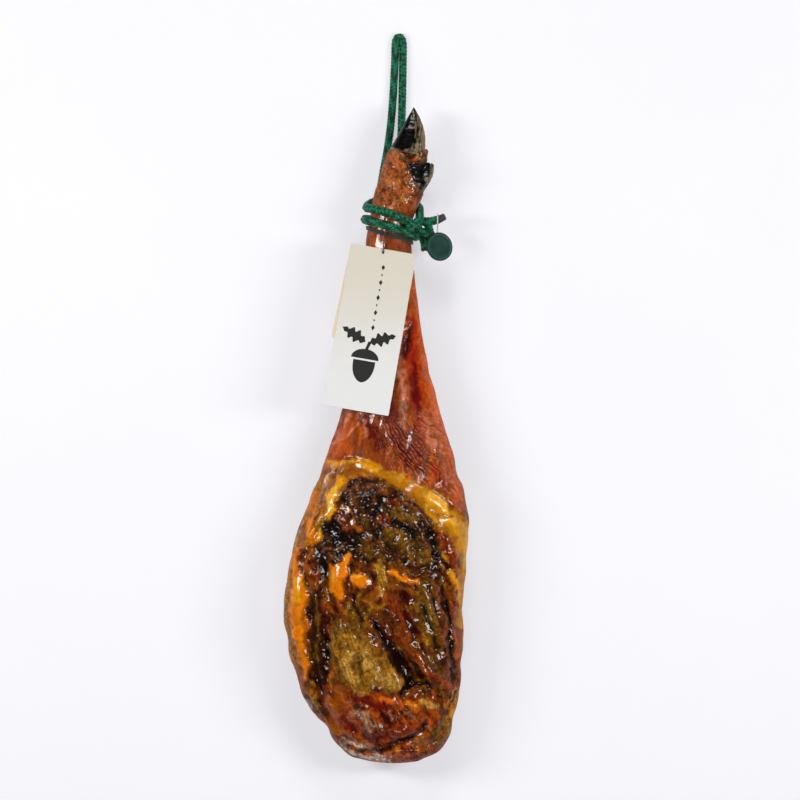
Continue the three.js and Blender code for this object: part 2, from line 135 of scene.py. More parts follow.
def smooth_path(points, spacing=1.0, closed=False):
    """Points about that far apart on the centripetal curve through the given points."""
    p = np.array(points, float)
    if closed:
        p = np.vstack([p[-1], p, p[0], p[1]])
    else:
        p = np.vstack([2 * p[0] - p[1], p, 2 * p[-1] - p[-2]])
    out = []
    for p0, p1, p2, p3 in zip(p[:-3], p[1:-2], p[2:-1], p[3:]):
        d0, d1, d2 = (np.linalg.norm(b - a) ** 0.5 for a, b in ((p0, p1), (p1, p2), (p2, p3)))
        m1 = ((p1 - p0) / d0 - (p2 - p0) / (d0 + d1) + (p2 - p1) / d1) * d1
        m2 = ((p2 - p1) / d1 - (p3 - p1) / (d1 + d2) + (p3 - p2) / d2) * d1
        count = max(2, round(np.linalg.norm(p2 - p1) / spacing))
        for t in np.arange(count) / count:
            out.append(
                (2 * t**3 - 3 * t**2 + 1) * p1
                + (t**3 - 2 * t**2 + t) * m1
                + (3 * t**2 - 2 * t**3) * p2
                + (t**3 - t**2) * m2
            )
    out.append(p[-2])
    return np.array(out)


# Small tools for meshes and node trees


def mesh_object(name, points, faces, smooth=True):
    """A new object from points in millimetres."""
    mesh = bpy.data.meshes.new(name)
    mesh.from_pydata((np.asarray(points, float) * MM).tolist(), [], faces)
    mesh.update()
    if smooth:
        mesh.shade_smooth()
    obj = bpy.data.objects.new(name, mesh)
    bpy.context.collection.objects.link(obj)
    return obj


def grid_faces(rings, around, closed_ends=True, first=0):
    """Quads between rings of points. They face out when the rings run anticlockwise about their way."""
    i, j = np.meshgrid(np.arange(rings - 1), np.arange(around), indexing="ij")
    a = first + i * around + j
    b = first + i * around + (j + 1) % around
    faces = np.stack([a, b, b + around, a + around], axis=-1).reshape(-1, 4).tolist()
    if closed_ends:
        faces.append(list(range(first + around - 1, first - 1, -1)))
        last = first + (rings - 1) * around
        faces.append(list(range(last, last + around)))
    return faces


def closed_faces(rings, around):
    """Quads between rings of points along a closed way."""
    i, j = np.meshgrid(np.arange(rings), np.arange(around), indexing="ij")
    here, there = i * around, (i + 1) % rings * around
    after = (j + 1) % around
    corners = [here + j, here + after, there + after, there + j]
    return np.stack(corners, axis=-1).reshape(-1, 4).tolist()


def carries(obj, slot, *nodes):
    """The piece rides on the ham and stands for those nodes of the part, which it hides. The slot is not
    used.
    """
    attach(obj, BODY)
    if nodes:
        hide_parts(*nodes)
    return obj


class Board:
    """A node tree that is wired up by calls. Values may be sockets or plain numbers."""

    def __init__(self, tree):
        self.tree = tree

    def feed(self, socket, value):
        if isinstance(value, bpy.types.NodeSocket):
            self.tree.links.new(value, socket)
        elif value is not None:
            socket.default_value = value

    def add(self, kind, inputs=None, **settings):
        node = self.tree.nodes.new(kind)
        for key, value in settings.items():
            setattr(node, key, value)
        for key, value in (inputs or {}).items():
            self.feed(node.inputs[key], value)
        return node

    def math(self, operation, *values):
        node = self.add("ShaderNodeMath", operation=operation)
        for socket, value in zip(node.inputs, values):
            self.feed(socket, value)
        return node.outputs[0]

    def vector(self, operation, *values):
        node = self.add("ShaderNodeVectorMath", operation=operation)
        sockets = [node.inputs[0], node.inputs["Scale"]] if operation == "SCALE" else node.inputs
        for socket, value in zip(sockets, values):
            self.feed(socket, value)
        return node.outputs["Value"] if operation == "LENGTH" else node.outputs[0]

    def range(self, value, low, high, to_low=0.0, to_high=1.0, smooth=True):
        node = self.add("ShaderNodeMapRange", interpolation_type="SMOOTHSTEP" if smooth else "LINEAR")
        for socket, v in zip(node.inputs[:5], (value, low, high, to_low, to_high)):
            self.feed(socket, v)
        return node.outputs[0]

    def mix(self, factor, a, b):
        node = self.add("ShaderNodeMix", data_type="RGBA")
        for index, value in ((0, factor), (6, a), (7, b)):
            self.feed(node.inputs[index], value)
        return node.outputs[2]


def new_group(name, kind, inputs, outputs):
    """An empty node group with named sockets. Inputs are (name, socket type, default)."""
    tree = bpy.data.node_groups.new(name, kind)
    for label, socket, default in inputs:
        made = tree.interface.new_socket(name=label, in_out="INPUT", socket_type="NodeSocket" + socket)
        if default is not None:
            made.default_value = default
    for label, socket in outputs:
        tree.interface.new_socket(name=label, in_out="OUTPUT", socket_type="NodeSocket" + socket)
    board = Board(tree)
    return board, board.add("NodeGroupInput").outputs, board.add("NodeGroupOutput").inputs


def colour(r, g, b):
    """An sRGB colour from 0 to 255 as the linear value that a socket takes."""
    linear = [((c / 255 + 0.055) / 1.055) ** 2.4 if c > 10 else c / 255 / 12.92 for c in (r, g, b)]
    return (*linear, 1.0)


# Shader tools, and the group that two finishes share


def object_mm(board):
    """Object coordinates in millimetres."""
    return board.vector("SCALE", board.add("ShaderNodeTexCoord").outputs["Object"], 1000.0)


def noise(board, vector, size, detail=3.0, roughness=0.55, distortion=0.0):
    """Noise with lumps of about that size in millimetres."""
    inputs = {
        "Vector": vector,
        "Scale": 1.0 / size,
        "Detail": detail,
        "Roughness": roughness,
        "Distortion": distortion,
    }
    return board.add("ShaderNodeTexNoise", inputs).outputs["Fac"]


def fibre_group():
    """Fine lines along a direction in the plane of the table, from 0 to 1."""
    inputs = [("Turn", "Float", 0.0), ("Width", "Float", 1.5), ("Length", "Float", 14.0)]
    board, given, made = new_group("fibre lines", "ShaderNodeTree", inputs, [("Lines", "Float")])
    turned = board.add(
        "ShaderNodeVectorRotate",
        {"Vector": object_mm(board), "Angle": given["Turn"]},
        rotation_type="Z_AXIS",
    )
    parts = board.add("ShaderNodeSeparateXYZ", {"Vector": turned.outputs[0]})
    across = board.math("DIVIDE", parts.outputs[0], given["Width"])
    along = board.math("DIVIDE", parts.outputs[1], given["Length"])
    depth = board.math("DIVIDE", parts.outputs[2], given["Length"])
    at = board.add("ShaderNodeCombineXYZ", {"X": across, "Y": along, "Z": depth})
    board.feed(made["Lines"], noise(board, at.outputs[0], 1.0, 3.0, 0.6, 0.3))
    return board.tree


FIBRE_LINES = fibre_group()


def fibre_lines(board, degrees, width, length):
    """The group's lines at that angle, of about that width and length in millimetres."""
    inputs = {"Turn": radians(degrees), "Width": width, "Length": length}
    return board.add("ShaderNodeGroup", inputs, node_tree=FIBRE_LINES).outputs[0]


def finish(name, **constants):
    """A material with a Principled shader, whose constant values are set on its own sockets."""
    material = bpy.data.materials.new(name)
    material.use_nodes = True
    board = Board(material.node_tree)
    shader = material.node_tree.nodes["Principled BSDF"]
    for key, value in constants.items():
        shader.inputs[key.replace("_", " ")].default_value = value
    return material, board, shader.inputs


def bump(board, shader, height, distance_mm, strength=1.0):
    inputs = {"Strength": strength, "Distance": distance_mm * MM, "Height": height}
    board.feed(shader["Normal"], board.add("ShaderNodeBump", inputs).outputs[0])


# The camera looks straight down on the leg


def make_camera():
    data = bpy.data.cameras.new("camera")
    data.sensor_width = SENSOR
    data.lens = SENSOR * CAMERA_DISTANCE / SEEN_WIDTH
    data.clip_end = 50
    camera = bpy.data.objects.new("camera", data)
    camera.location = [v * MM for v in (*SEEN_MIDDLE, SEEN_PLANE + CAMERA_DISTANCE)]
    bpy.context.collection.objects.link(camera)
    bpy.context.scene.camera = camera


make_camera()

# Rope and string: strands laid round a path by Geometry Nodes


def strands_group():
    """Strands wound round a path. With a wave they pass over and under those of the other hand."""
    inputs = [
        ("Path", "Geometry", None),
        ("Count", "Int", 8),
        ("Hand", "Float", 1.0),
        ("Pitch", "Float", 0.026),
        ("Radius", "Float", 0.0033),
        ("Wave", "Float", 0.0004),
        ("Strand width", "Float", 0.0011),
        ("Strand thickness", "Float", 0.0006),
        ("Step", "Float", 0.0008),
        ("Seed", "Int", SEED),
        ("Material", "Material", None),
    ]
    board, given, made = new_group("laid strands", "GeometryNodeTree", inputs, [("Strands", "Geometry")])
    curve = board.add("GeometryNodeMeshToCurve", {"Mesh": given["Path"]})
    even = board.add(
        "GeometryNodeResampleCurve",
        {"Curve": curve.outputs[0], "Length": given["Step"]},
        mode="LENGTH",
    )
    copies = board.add(
        "GeometryNodeDuplicateElements",
        {"Geometry": even.outputs[0], "Amount": given["Count"]},
        domain="SPLINE",
    )
    index = copies.outputs["Duplicate Index"]
    along = board.add("GeometryNodeSplineParameter").outputs["Length"]
    turn = board.math("DIVIDE", board.math("MULTIPLY", along, given["Hand"]), given["Pitch"])
    place = board.math("DIVIDE", index, given["Count"])
    angle = board.math("MULTIPLY", board.math("ADD", turn, place), 2 * pi)
    normal = board.add("GeometryNodeInputNormal").outputs[0]
    tangent = board.add("GeometryNodeInputTangent").outputs[0]
    side = board.vector("CROSS_PRODUCT", tangent, normal)
    outward = board.vector(
        "ADD",
        board.vector("SCALE", normal, board.math("COSINE", angle)),
        board.vector("SCALE", side, board.math("SINE", angle)),
    )
    kept = board.add("GeometryNodeCaptureAttribute", {"Geometry": copies.outputs[0]}, domain="POINT")
    kept.capture_items.new("VECTOR", "outward")
    board.feed(kept.inputs[1], outward)
    # Crossings lie half a pitch divided by the count apart; a strand goes over two and then under two.
    crossings = board.math("MULTIPLY", turn, board.math("MULTIPLY", given["Count"], 2.0))
    phase = board.math("SUBTRACT", board.math("MULTIPLY_ADD", index, 2.0, crossings), 0.5)
    over = board.math("MULTIPLY", board.math("COSINE", board.math("MULTIPLY", phase, pi / 2)), given["Hand"])
    reach = board.math("MULTIPLY_ADD", over, given["Wave"], given["Radius"])
    moved = board.add(
        "GeometryNodeSetPosition",
        {"Geometry": kept.outputs[0], "Offset": board.vector("SCALE", kept.outputs[1], reach)},
    )
    # Each strand is painted lighter where it passes over and darker where it passes under, painted light and
    # shade, with a little random tone of its own.
    tone = board.add("FunctionNodeRandomValue", {"ID": index, "Seed": given["Seed"]}, data_type="FLOAT")
    lit = board.math("MULTIPLY_ADD", over, 0.42, board.math("MULTIPLY_ADD", tone.outputs[1], 0.12, 0.38))
    toned = board.add(
        "GeometryNodeStoreNamedAttribute",
        {"Geometry": moved.outputs[0], "Name": "tone", "Value": lit},
        data_type="FLOAT",
        domain="POINT",
    )
    turned = board.add(
        "GeometryNodeSetCurveNormal",
        {"Curve": toned.outputs[0], "Normal": kept.outputs[1]},
        mode="FREE",
    )
    ring = board.add("GeometryNodeCurvePrimitiveCircle", {"Resolution": 6, "Radius": 1.0})
    size = board.add(
        "ShaderNodeCombineXYZ",
        {"X": given["Strand thickness"], "Y": given["Strand width"], "Z": 1.0},
    )
    outline = board.add("GeometryNodeTransform", {"Geometry": ring.outputs[0], "Scale": size.outputs[0]})
    solid = board.add(
        "GeometryNodeCurveToMesh",
        {"Curve": turned.outputs[0], "Profile Curve": outline.outputs[0], "Fill Caps": True},
    )
    real = board.add("GeometryNodeRealizeInstances", {"Geometry": solid.outputs[0]})
    done = board.add("GeometryNodeSetMaterial", {"Geometry": real.outputs[0], "Material": given["Material"]})
    board.feed(made["Strands"], done.outputs[0])
    return board.tree


STRANDS = strands_group()


def laid_strands(name, path, material, **sizes):
    """The strands along a path in millimetres, as a plain mesh object."""
    guide = bpy.data.meshes.new(name)
    guide.from_pydata((np.asarray(path) * MM).tolist(), [(i, i + 1) for i in range(len(path) - 1)], [])
    obj = bpy.data.objects.new(name, guide)
    bpy.context.collection.objects.link(obj)
    modifier = obj.modifiers.new("strands", "NODES")
    modifier.node_group = STRANDS
    sockets = {s.name: s.identifier for s in STRANDS.interface.items_tree if s.in_out == "INPUT"}
    for key, value in sizes.items():
        modifier[sockets[key.replace("_", " ")]] = value
    modifier[sockets["Material"]] = material
    graph = bpy.context.evaluated_depsgraph_get()
    made = bpy.data.meshes.new_from_object(obj.evaluated_get(graph), depsgraph=graph)
    obj.modifiers.clear()
    obj.data = made
    bpy.data.meshes.remove(guide)
    made.shade_smooth()
    return obj


def sweep(path, radius, sides):
    """Points and faces of a round tube along a path, closed at both ends."""
    path = np.asarray(path, float)
    tangent = np.gradient(path, axis=0)
    tangent /= np.linalg.norm(tangent, axis=1)[:, None]
    normal = np.array([0.0, 0.0, 1.0])
    angles = 2 * pi * np.arange(sides) / sides
    rings = []
    radius = np.broadcast_to(radius, len(path))
    for p, t, r in zip(path, tangent, radius):
        normal = normal - t * normal.dot(t)
        normal /= np.linalg.norm(normal)
        side = np.cross(t, normal)
        rings.append(p + r * (np.outer(np.cos(angles), normal) + np.outer(np.sin(angles), side)))
    return np.concatenate(rings), grid_faces(len(path), sides)


def join(name, objects):
    """One object from several, with their materials kept."""
    bpy.ops.object.select_all(action="DESELECT")
    for obj in objects:
        obj.select_set(True)
    bpy.context.view_layer.objects.active = objects[0]
    bpy.ops.object.join()
    objects[0].name = name
    objects[0].data.name = name
    return objects[0]


def rope_material():
    """Green braided cord with a soft sheen, each strand a little lighter or darker, and painted lighter where
    it passes over and darker where it passes under.
    """
    material, board, shader = finish("green_rope", Roughness=0.42, Specular_IOR_Level=0.28)
    tone = board.add("ShaderNodeAttribute", attribute_name="tone").outputs["Fac"]
    lines = noise(board, object_mm(board), 0.7, 2.0)
    light = board.range(board.math("MULTIPLY_ADD", lines, 0.3, tone), 0.1, 1.0, smooth=False)
    board.feed(shader["Base Color"], board.mix(light, colour(0, 18, 12), colour(18, 124, 86)))
    bump(board, shader, lines, 0.15, 0.6)
    return material


def rope_core_material():
    material, board, shader = finish("rope_core", Roughness=0.8)
    shade = noise(board, object_mm(board), 1.2)
    # The core is darker than the strands: painted shade in the gaps between them.
    board.feed(shader["Base Color"], board.mix(shade, colour(3, 22, 14), colour(10, 52, 36)))
    return material


ROPE = rope_material()
ROPE_CORE = rope_core_material()
BRAID = dict(Count=6, Pitch=0.023, Strand_width=0.00125, Strand_thickness=0.00075, Step=0.0008)


def braid(name, path, radius=ROPE_RADIUS):
    """A braided cord along a path: a core with strands of both hands over it."""
    core = mesh_object(name + "_core", *sweep(path, radius - 1.05, 12))
    core.data.materials.append(ROPE_CORE)
    middle = dict(Radius=(radius - 0.85) * MM, Wave=0.0005)
    right = laid_strands(name + "_right", path, ROPE, Hand=1.0, Seed=SEED, **middle, **BRAID)
    left = laid_strands(name + "_left", path, ROPE, Hand=-1.0, Seed=SEED + 1, **middle, **BRAID)
    return join(name, [right, left, core])


LOOP = [
    (5, 251, 22),
    (4.9, 256.8, 19.2),
    (4.8, 263.5, 16),
    (6.2, 273, 13),
    (8.6, 287, 9),
    (11.8, 304, 5.8),
    (15.3, 329, 4.3),
    (17.8, 357, 4.3),
    (19.4, 384, 4.3),
    (20.5, 408, 4.3),
    (20.7, 419, 4.3),
    (22, 425, 4.3),
    (24.8, 427.3, 4.3),
    (27.6, 425, 4.3),
    (28.9, 419, 4.3),
    (28.9, 408, 4.3),
    (28.6, 384, 4.3),
    (28.1, 357, 4.3),
    (27.3, 331, 4.3),
    (25.8, 304, 5.8),
    (24.2, 287, 9),
    (22.8, 273, 13),
    (21.9, 263.5, 16),
    (21.5, 257.5, 17.2),
    (21.2, 252.2, 18.2),
]


def rope_loop():
    path = smooth_path(LOOP, 1.0)
    loop = carries(braid("rope_loop_braided", path), "rope", "rope_loop")


rope_loop()

TURN_RADIUS = 4.5  # the rope swells a little where it is wound and knotted

KNOT_STRAND = [(56.5, 214.5, 47), (52, 215.5, 51), (46.5, 217.2, 54)]
TAIL = [(42, 226, 57), (49, 227, 55.5), (57, 227.2, 55), (63, 228.2, 55), (67.6, 229.6, 55.2)]
SECOND_TAIL = [(44, 213, 46), (49, 211.5, 44), (52, 205, 42), (52.9, 196.5, 40.5)]
HIDDEN_STRAND = [(55.5, 224, 51), (57.5, 217, 47), (59.5, 210, 44), (61, 204, 42.5)]
# Turns as stations: angle round the leg, place along it and height above the skin.
UPPER_TURN = [
    (12, 220.5, 3),
    (32, 224, 0.8),
    (55, 228.5, 0),
    (80, 232.5, 0),
    (110, 237, 0),
    (145, 240.5, 0),
    (180, 242.5, 0),
    (215, 248.5, 0),
    (250, 253, 0),
    (290, 251, 0),
    (325, 243.5, 0),
    (355, 236, 0.3),
    (372, 231, 2.8),
    (388, 227.5, 6),
    (401, 223, 5.5),
    (411, 219, 3),
]
LOWER_TURN = [
    (270, 222, 0),
    (300, 217, 0),
    (330, 213, 0),
    (360, 211, 0.5),
    (390, 213.6, 0),
    (420, 217, 0),
    (450, 221.4, 0),
    (480, 225, 0),
    (510, 227.8, 0),
    (540, 229.6, 0),
    (570, 230, 0),
    (600, 227, 0),
    (630, 222, 0),
]


def turn_path(stations):
    return [on_leg(y, degrees, ROPE_RADIUS + above) for degrees, y, above in stations]


def rope_turns():
    runs = {
        "upper": KNOT_STRAND + turn_path(UPPER_TURN),
        "lower": turn_path(LOWER_TURN),
        "tail": TAIL,
        "second_tail": SECOND_TAIL,
        "hidden": HIDDEN_STRAND,
    }
    strands = [braid("rope_" + name, smooth_path(points), TURN_RADIUS) for name, points in runs.items()]
    carries(join("rope_turns_braided", strands), "rope", "rope_turns")


rope_turns()

# The form of the leg, as in the part, drawn much finer

SKIN_EDGE = [(-54, -31), (-28, -27), (-4, -33), (20, -43), (42, -54), (63, -64), (82, -80), (96, -97)]
SKIN_STEP = 2.2
SKIN_FADE = 45
LEAN = [
    dict(y=-340, left=-24, right=54),
    dict(y=-325, left=-40, right=72),
    dict(y=-296, left=-58, right=84),
    dict(y=-264, left=-69, right=86),
    dict(y=-221, left=-74, right=84),
    dict(y=-157, left=-77, right=78),
    dict(y=-114, left=-73, right=75),
    dict(y=-93, left=-58, right=64),
    dict(y=-71, left=-39, right=47),
    dict(y=-50, left=-24, right=10),
]
LEAN_ENDS = (-340, -48)
LEAN_DEPTH = 3.2
LEAN_EDGE = 5
# Centre, half size across and along, turn in degrees and rise.
SWELLINGS = [
    (-15, -238, 32, 45, 0, 5),
    (10, -308, 54, 28, 0, 5),
    (56, -200, 17, 48, 14, 3.5),
    (-39, -152, 11, 18, 0, 3),
    (-15, -155, 11, 12, 0, 3),
    (30, -155, 17, 8, -30, 2.5),
    (-84, -200, 9, 60, 0, 2.5),
    (2, -100, 40, 26, 0, 2),
    (50, 302, 7, 8, 0, 3),
    (20, 262, 12, 9, 0, -1.5),
]
# Half width, rise and the points of each line.
FOLDS = [
    (7, -5, [(-53, -146), (-54, -178), (-53, -221), (-48, -270)]),
    (8.5, -7.5, [(12, -202), (24, -227), (31, -245), (40, -264)]),
    (6.5, -6, [(30, -282), (39, -270), (52, -268), (62, -275)]),
    (5.5, -3, [(-2, -338), (26, -332), (42, -323), (53, -311)]),
    (6, -2.5, [(72, -152), (82, -190), (85, -232), (88, -273)]),
    (6.5, 3, [(24, -208), (47, -243), (74, -275)]),
    (6, -2.5, [(-74, -160), (-73, -220), (-64, -275)]),
    (6, 2, [(41, 154), (47, 79), (60, 4), (69, -50)]),
    (6, -2.2, [(30, 110), (37, 57), (53, -7), (62, -40)]),
    (8, -1.5, [(2, 10), (12, -15), (30, -30)]),
]
TOP_STEPS = 170
UNDER_STEPS = 40
FACE_SPACING = 1.15  # between sections on the trimmed face
SHANK_SPACING = 2.1

LATTICE = np.random.default_rng(SEED).random((32, 32, 32))
TILT = np.array(Euler((0.7, 0.4, 1.1)).to_matrix())


def lumps(at, size, octaves=1, shift=0.0):
    """Smooth noise between about -1 and 1, with lumps of that size in millimetres."""
    at = at / size + shift
    total, weight = 0.0, 1.0
    for _ in range(octaves):
        at = at @ TILT.T
        cell = np.floor(at).astype(int)
        t = at - cell
        t = t * t * (3 - 2 * t)
        value = 0.0
        for corner in np.ndindex(2, 2, 2):
            share = np.prod(np.where(corner, t, 1 - t), axis=-1)
            i = (cell + corner) % 32
            value = value + share * LATTICE[i[..., 0], i[..., 1], i[..., 2]]
        total = total + weight * (2 * value - 1)
        at, weight = at * 2.03, weight * 0.5
    return total


def streaks(at, degrees, length, width, octaves=2, shift=0.0):
    """Noise drawn out along a direction in the plane of the table, 0 being along the leg."""
    a = radians(degrees)
    along = -at[..., 0] * sin(a) + at[..., 1] * cos(a)
    across = at[..., 0] * cos(a) + at[..., 1] * sin(a)
    stretched = np.stack([across / width, along / length, at[..., 2] / length], axis=-1)
    return lumps(stretched, 1.0, octaves, shift)


def stroke_distance(points, x, y):
    """How far x, y lies outside a stroke. Its points are (x, y, half width)."""
    points = [p if len(p) == 3 else (*p, 0) for p in points]
    if len(points) == 1:
        points = points * 2
    best = np.full(np.shape(x), 1e9)
    for (ax, ay, aw), (bx, by, bw) in zip(points, points[1:]):
        dx, dy = bx - ax, by - ay
        t = np.clip(((x - ax) * dx + (y - ay) * dy) / max(dx * dx + dy * dy, 1e-9), 0, 1)
        best = np.minimum(best, np.hypot(x - ax - t * dx, y - ay - t * dy) - aw - t * (bw - aw))
    return best


def area_distance(corners, x, y):
    """How far x, y lies outside an area with these corners, negative inside."""
    ring = list(corners) + [corners[0]]
    inside = np.zeros(np.shape(x), bool)
    for (ax, ay), (bx, by) in zip(ring, ring[1:]):
        crosses = (ay > y) != (by > y)
        at = ax + (y - ay) * (bx - ax) / (by - ay if by != ay else 1e-9)
        inside ^= crosses & (x < at)
    distance = stroke_distance(ring, x, y)
    return np.where(inside, -distance, distance)


def skin_edge(x):
    return through([dict(y=at, edge=y) for at, y in SKIN_EDGE], "edge", x)


def unevenness(x, y, z):
    """Broad waves all over the leg, none under the rope and weaker ones on the shank."""
    off_rope = np.clip((np.abs(y - TIED_AT) - 25) / 30, 0, 1)
    on_shank = step(-60, -10, y) * (1 - step(200, 240, y))
    return off_rope * (1 - 0.7 * on_shank) * (
        0.9 * np.sin(0.11 * x + 0.04 * z + 1.3) * np.sin(0.083 * y + 0.5)
        + 0.6 * np.sin(0.19 * x - 0.12 * y + 2)
        + 0.4 * np.sin(0.07 * x + 0.21 * y + 0.13 * z)
    )


def face_relief(x, y):
    """How far the trimmed face stands above the plain leg."""
    rise = np.zeros_like(x)
    for cx, cy, half_across, half_along, degrees, lift in SWELLINGS:
        a = radians(degrees)
        across = ((x - cx) * cos(a) + (y - cy) * sin(a)) / half_across
        along = (-(x - cx) * sin(a) + (y - cy) * cos(a)) / half_along
        rise += lift * np.exp(-1.2 * (across**2 + along**2))
    for width, lift, line in FOLDS:
        rise += lift * np.exp(-((stroke_distance(line, x, y) / width) ** 2))
    beyond = y - skin_edge(x)
    rise += SKIN_STEP * step(-1.5, 1.5, beyond) * (1 - step(0, SKIN_FADE, beyond))
    sides = [x - through(LEAN, "left", y), through(LEAN, "right", y) - x]
    inside = np.minimum.reduce([*sides, LEAN_ENDS[1] - y, y - LEAN_ENDS[0]])
    return rise - LEAN_DEPTH * step(0, LEAN_EDGE, inside)


def even_steps(power, half, tall, count):
    """Places from -1 to 1 that lie evenly round half a section of that squareness."""
    u = np.sin(np.linspace(-pi / 2, pi / 2, 4001))
    v = (1 - np.abs(u) ** power) ** (1 / power)
    run = np.concatenate([[0], np.cumsum(np.hypot(np.diff(u) * half, np.diff(v) * tall))])
    return np.interp(np.linspace(0, run[-1], count + 1), run, u)


def leg_form():
    """Rings of points round the leg, their normals, and how far each belongs to the trimmed face."""
    y = np.concatenate([np.arange(-350, -30, FACE_SPACING), np.arange(-30, 316, SHANK_SPACING), [317]])
    top = even_steps(power=2.7, half=90, tall=46, count=TOP_STEPS)
    under = even_steps(UNDERSIDE_SQUARE, half=90, tall=50, count=UNDER_STEPS)[::-1][1:-1]
    u = np.concatenate([top, under])
    upper = np.arange(len(u)) <= TOP_STEPS
    s = {key: value[:, None] for key, value in section(y).items()}
    power = np.where(upper, s["square"], UNDERSIDE_SQUARE)
    height = np.maximum(1 - np.abs(u) ** power, 0) ** (1 / power)
    z = s["side"] + (np.where(upper, s["high"], s["low"]) - s["side"]) * height
    x = s["middle"] + s["half"] * u
    plain = np.stack([x, np.broadcast_to(y[:, None], z.shape), np.maximum(z, 0)], axis=-1)
    normal = normals_of(plain)
    x, y, z = np.moveaxis(plain, -1, 0)
    on_face = np.where(upper, step(0, 0.45, normal[..., 2]), 0)
    rise = step(0, 6, z) * unevenness(x, y, z) + on_face * face_relief(x, y)
    form = plain + normal * rise[..., None]
    return form, normals_of(form), on_face


def normals_of(rings):
    along = np.gradient(rings, axis=0)
    round_ = np.roll(rings, -1, axis=1) - np.roll(rings, 1, axis=1)
    normal = np.cross(round_, along)
    return normal / np.maximum(np.linalg.norm(normal, axis=-1, keepdims=True), 1e-9)


# Tones of the leg

TONES = dict(
    skin=(142, 62, 20),
    skin_orange=(202, 86, 14),
    skin_red=(158, 26, 7),
    skin_deep=(94, 13, 6),
    skin_maroon=(78, 22, 12),
    skin_purple=(108, 40, 28),
    skin_brown=(120, 58, 22),
    # a painted highlight on the skin
    skin_pink=(192, 116, 84),
    foot=(160, 86, 40),
    foot_brown=(84, 44, 18),
    foot_yellow=(170, 110, 42),
    foot_grey=(104, 84, 64),
    fat_yellow=(208, 138, 10),
    fat_pale=(222, 166, 56),
    fat_gold=(184, 110, 6),
    fat_orange=(206, 111, 4),
    fat_brown=(146, 74, 12),
    lean=(102, 48, 9),
    flank=(186, 116, 28),
    lobe=(160, 66, 14),
    dark_brown=(54, 20, 5),
    heel=(116, 82, 44),
    straw=(168, 118, 34),
    # a painted highlight
    sheen=(206, 182, 166),
    # near-black, also used as painted shade in the crevice by the dewclaw
    horn_black=(16, 13, 13),
    # a painted highlight
    grey_pink=(148, 104, 80),
    crust=(64, 29, 12),
    crust_grey=(104, 54, 22),
    black=(20, 8, 4),
    olive=(104, 68, 12),
    olive_light=(148, 98, 14),
    red_brown=(122, 46, 9),
    dark_red=(62, 9, 4),
    deep_red=(110, 18, 5),
    slit=(26, 3, 2),
    bone=(158, 108, 28),
    bone_light=(182, 134, 58),
    bone_dark=(108, 66, 12),
    tan=(184, 128, 58),
    # a painted sheen
    purple_grey=(146, 102, 72),
    edge_brown=(112, 54, 18),
)

# Areas of the leg: tone, softness of the edge, and corners.

FAT_RIM = [
    (-62, -29),
    (-30, -28),
    (-10, -27),
    (10, -40),
    (30, -45),
    (48, -55),
    (62, -62),
    (78, -78),
    (92, -88),
    (110, -100),
    (110, -210),
    (90, -205),
    (85, -170),
    (87, -140),
    (82, -118),
    (65, -100),
    (57, -90),
    (50, -78),
    (40, -68),
    (25, -58),
    (12, -50),
    (0, -45),
    (-20, -47),
    (-58, -52),
]
LEFT_FLANK = [
    (-110, -31),
    (-24, -31),
    (-26, -47),
    (-42, -60),
    (-46, -80),
    (-58, -98),
    (-64, -115),
    (-80, -125),
    (-84, -150),
    (-110, -160),
]
LEAN_FACE = [
    (-24, -47),
    (-10, -44),
    (12, -50),
    (25, -58),
    (40, -68),
    (57, -90),
    (75, -108),
    (86, -130),
    (84, -170),
    (87, -275),
    (84, -290),
    (77, -330),
    (45, -352),
    (0, -354),
    (-42, -332),
    (-56, -310),
    (-76, -265),
    (-82, -240),
    (-77, -160),
    (-84, -130),
    (-64, -114),
    (-52, -92),
    (-38, -56),
]
CRUST = [
    (-30, -52),
    (-8, -46),
    (12, -53),
    (30, -64),
    (46, -76),
    (56, -92),
    (66, -108),
    (74, -128),
    (72, -148),
    (50, -150),
    (28, -142),
    (5, -138),
    (-20, -137),
    (-45, -142),
    (-60, -152),
    (-78, -152),
    (-85, -136),
    (-66, -114),
    (-52, -92),
    (-40, -70),
]
BONE_FACE = [
    (-45, -205),
    (-20, -203),
    (0, -235),
    (15, -240),
    (32, -262),
    (30, -272),
    (16, -276),
    (0, -264),
    (-8, -275),
    (-20, -278),
    (-30, -264),
    (-40, -252),
    (-48, -225),
]
LOWER_END = [
    (-50, -272),
    (-30, -276),
    (30, -281),
    (60, -280),
    (82, -290),
    (76, -332),
    (45, -352),
    (0, -354),
    (-42, -334),
    (-60, -300),
]
AREAS = [
    ("fat_yellow", 3, FAT_RIM),
    ("flank", 3, LEFT_FLANK),
    ("lean", 1.5, LEAN_FACE),
    ("crust", 2.5, CRUST),
    ("lobe", 5, LOWER_END),
    ("bone", 7, BONE_FACE),
]

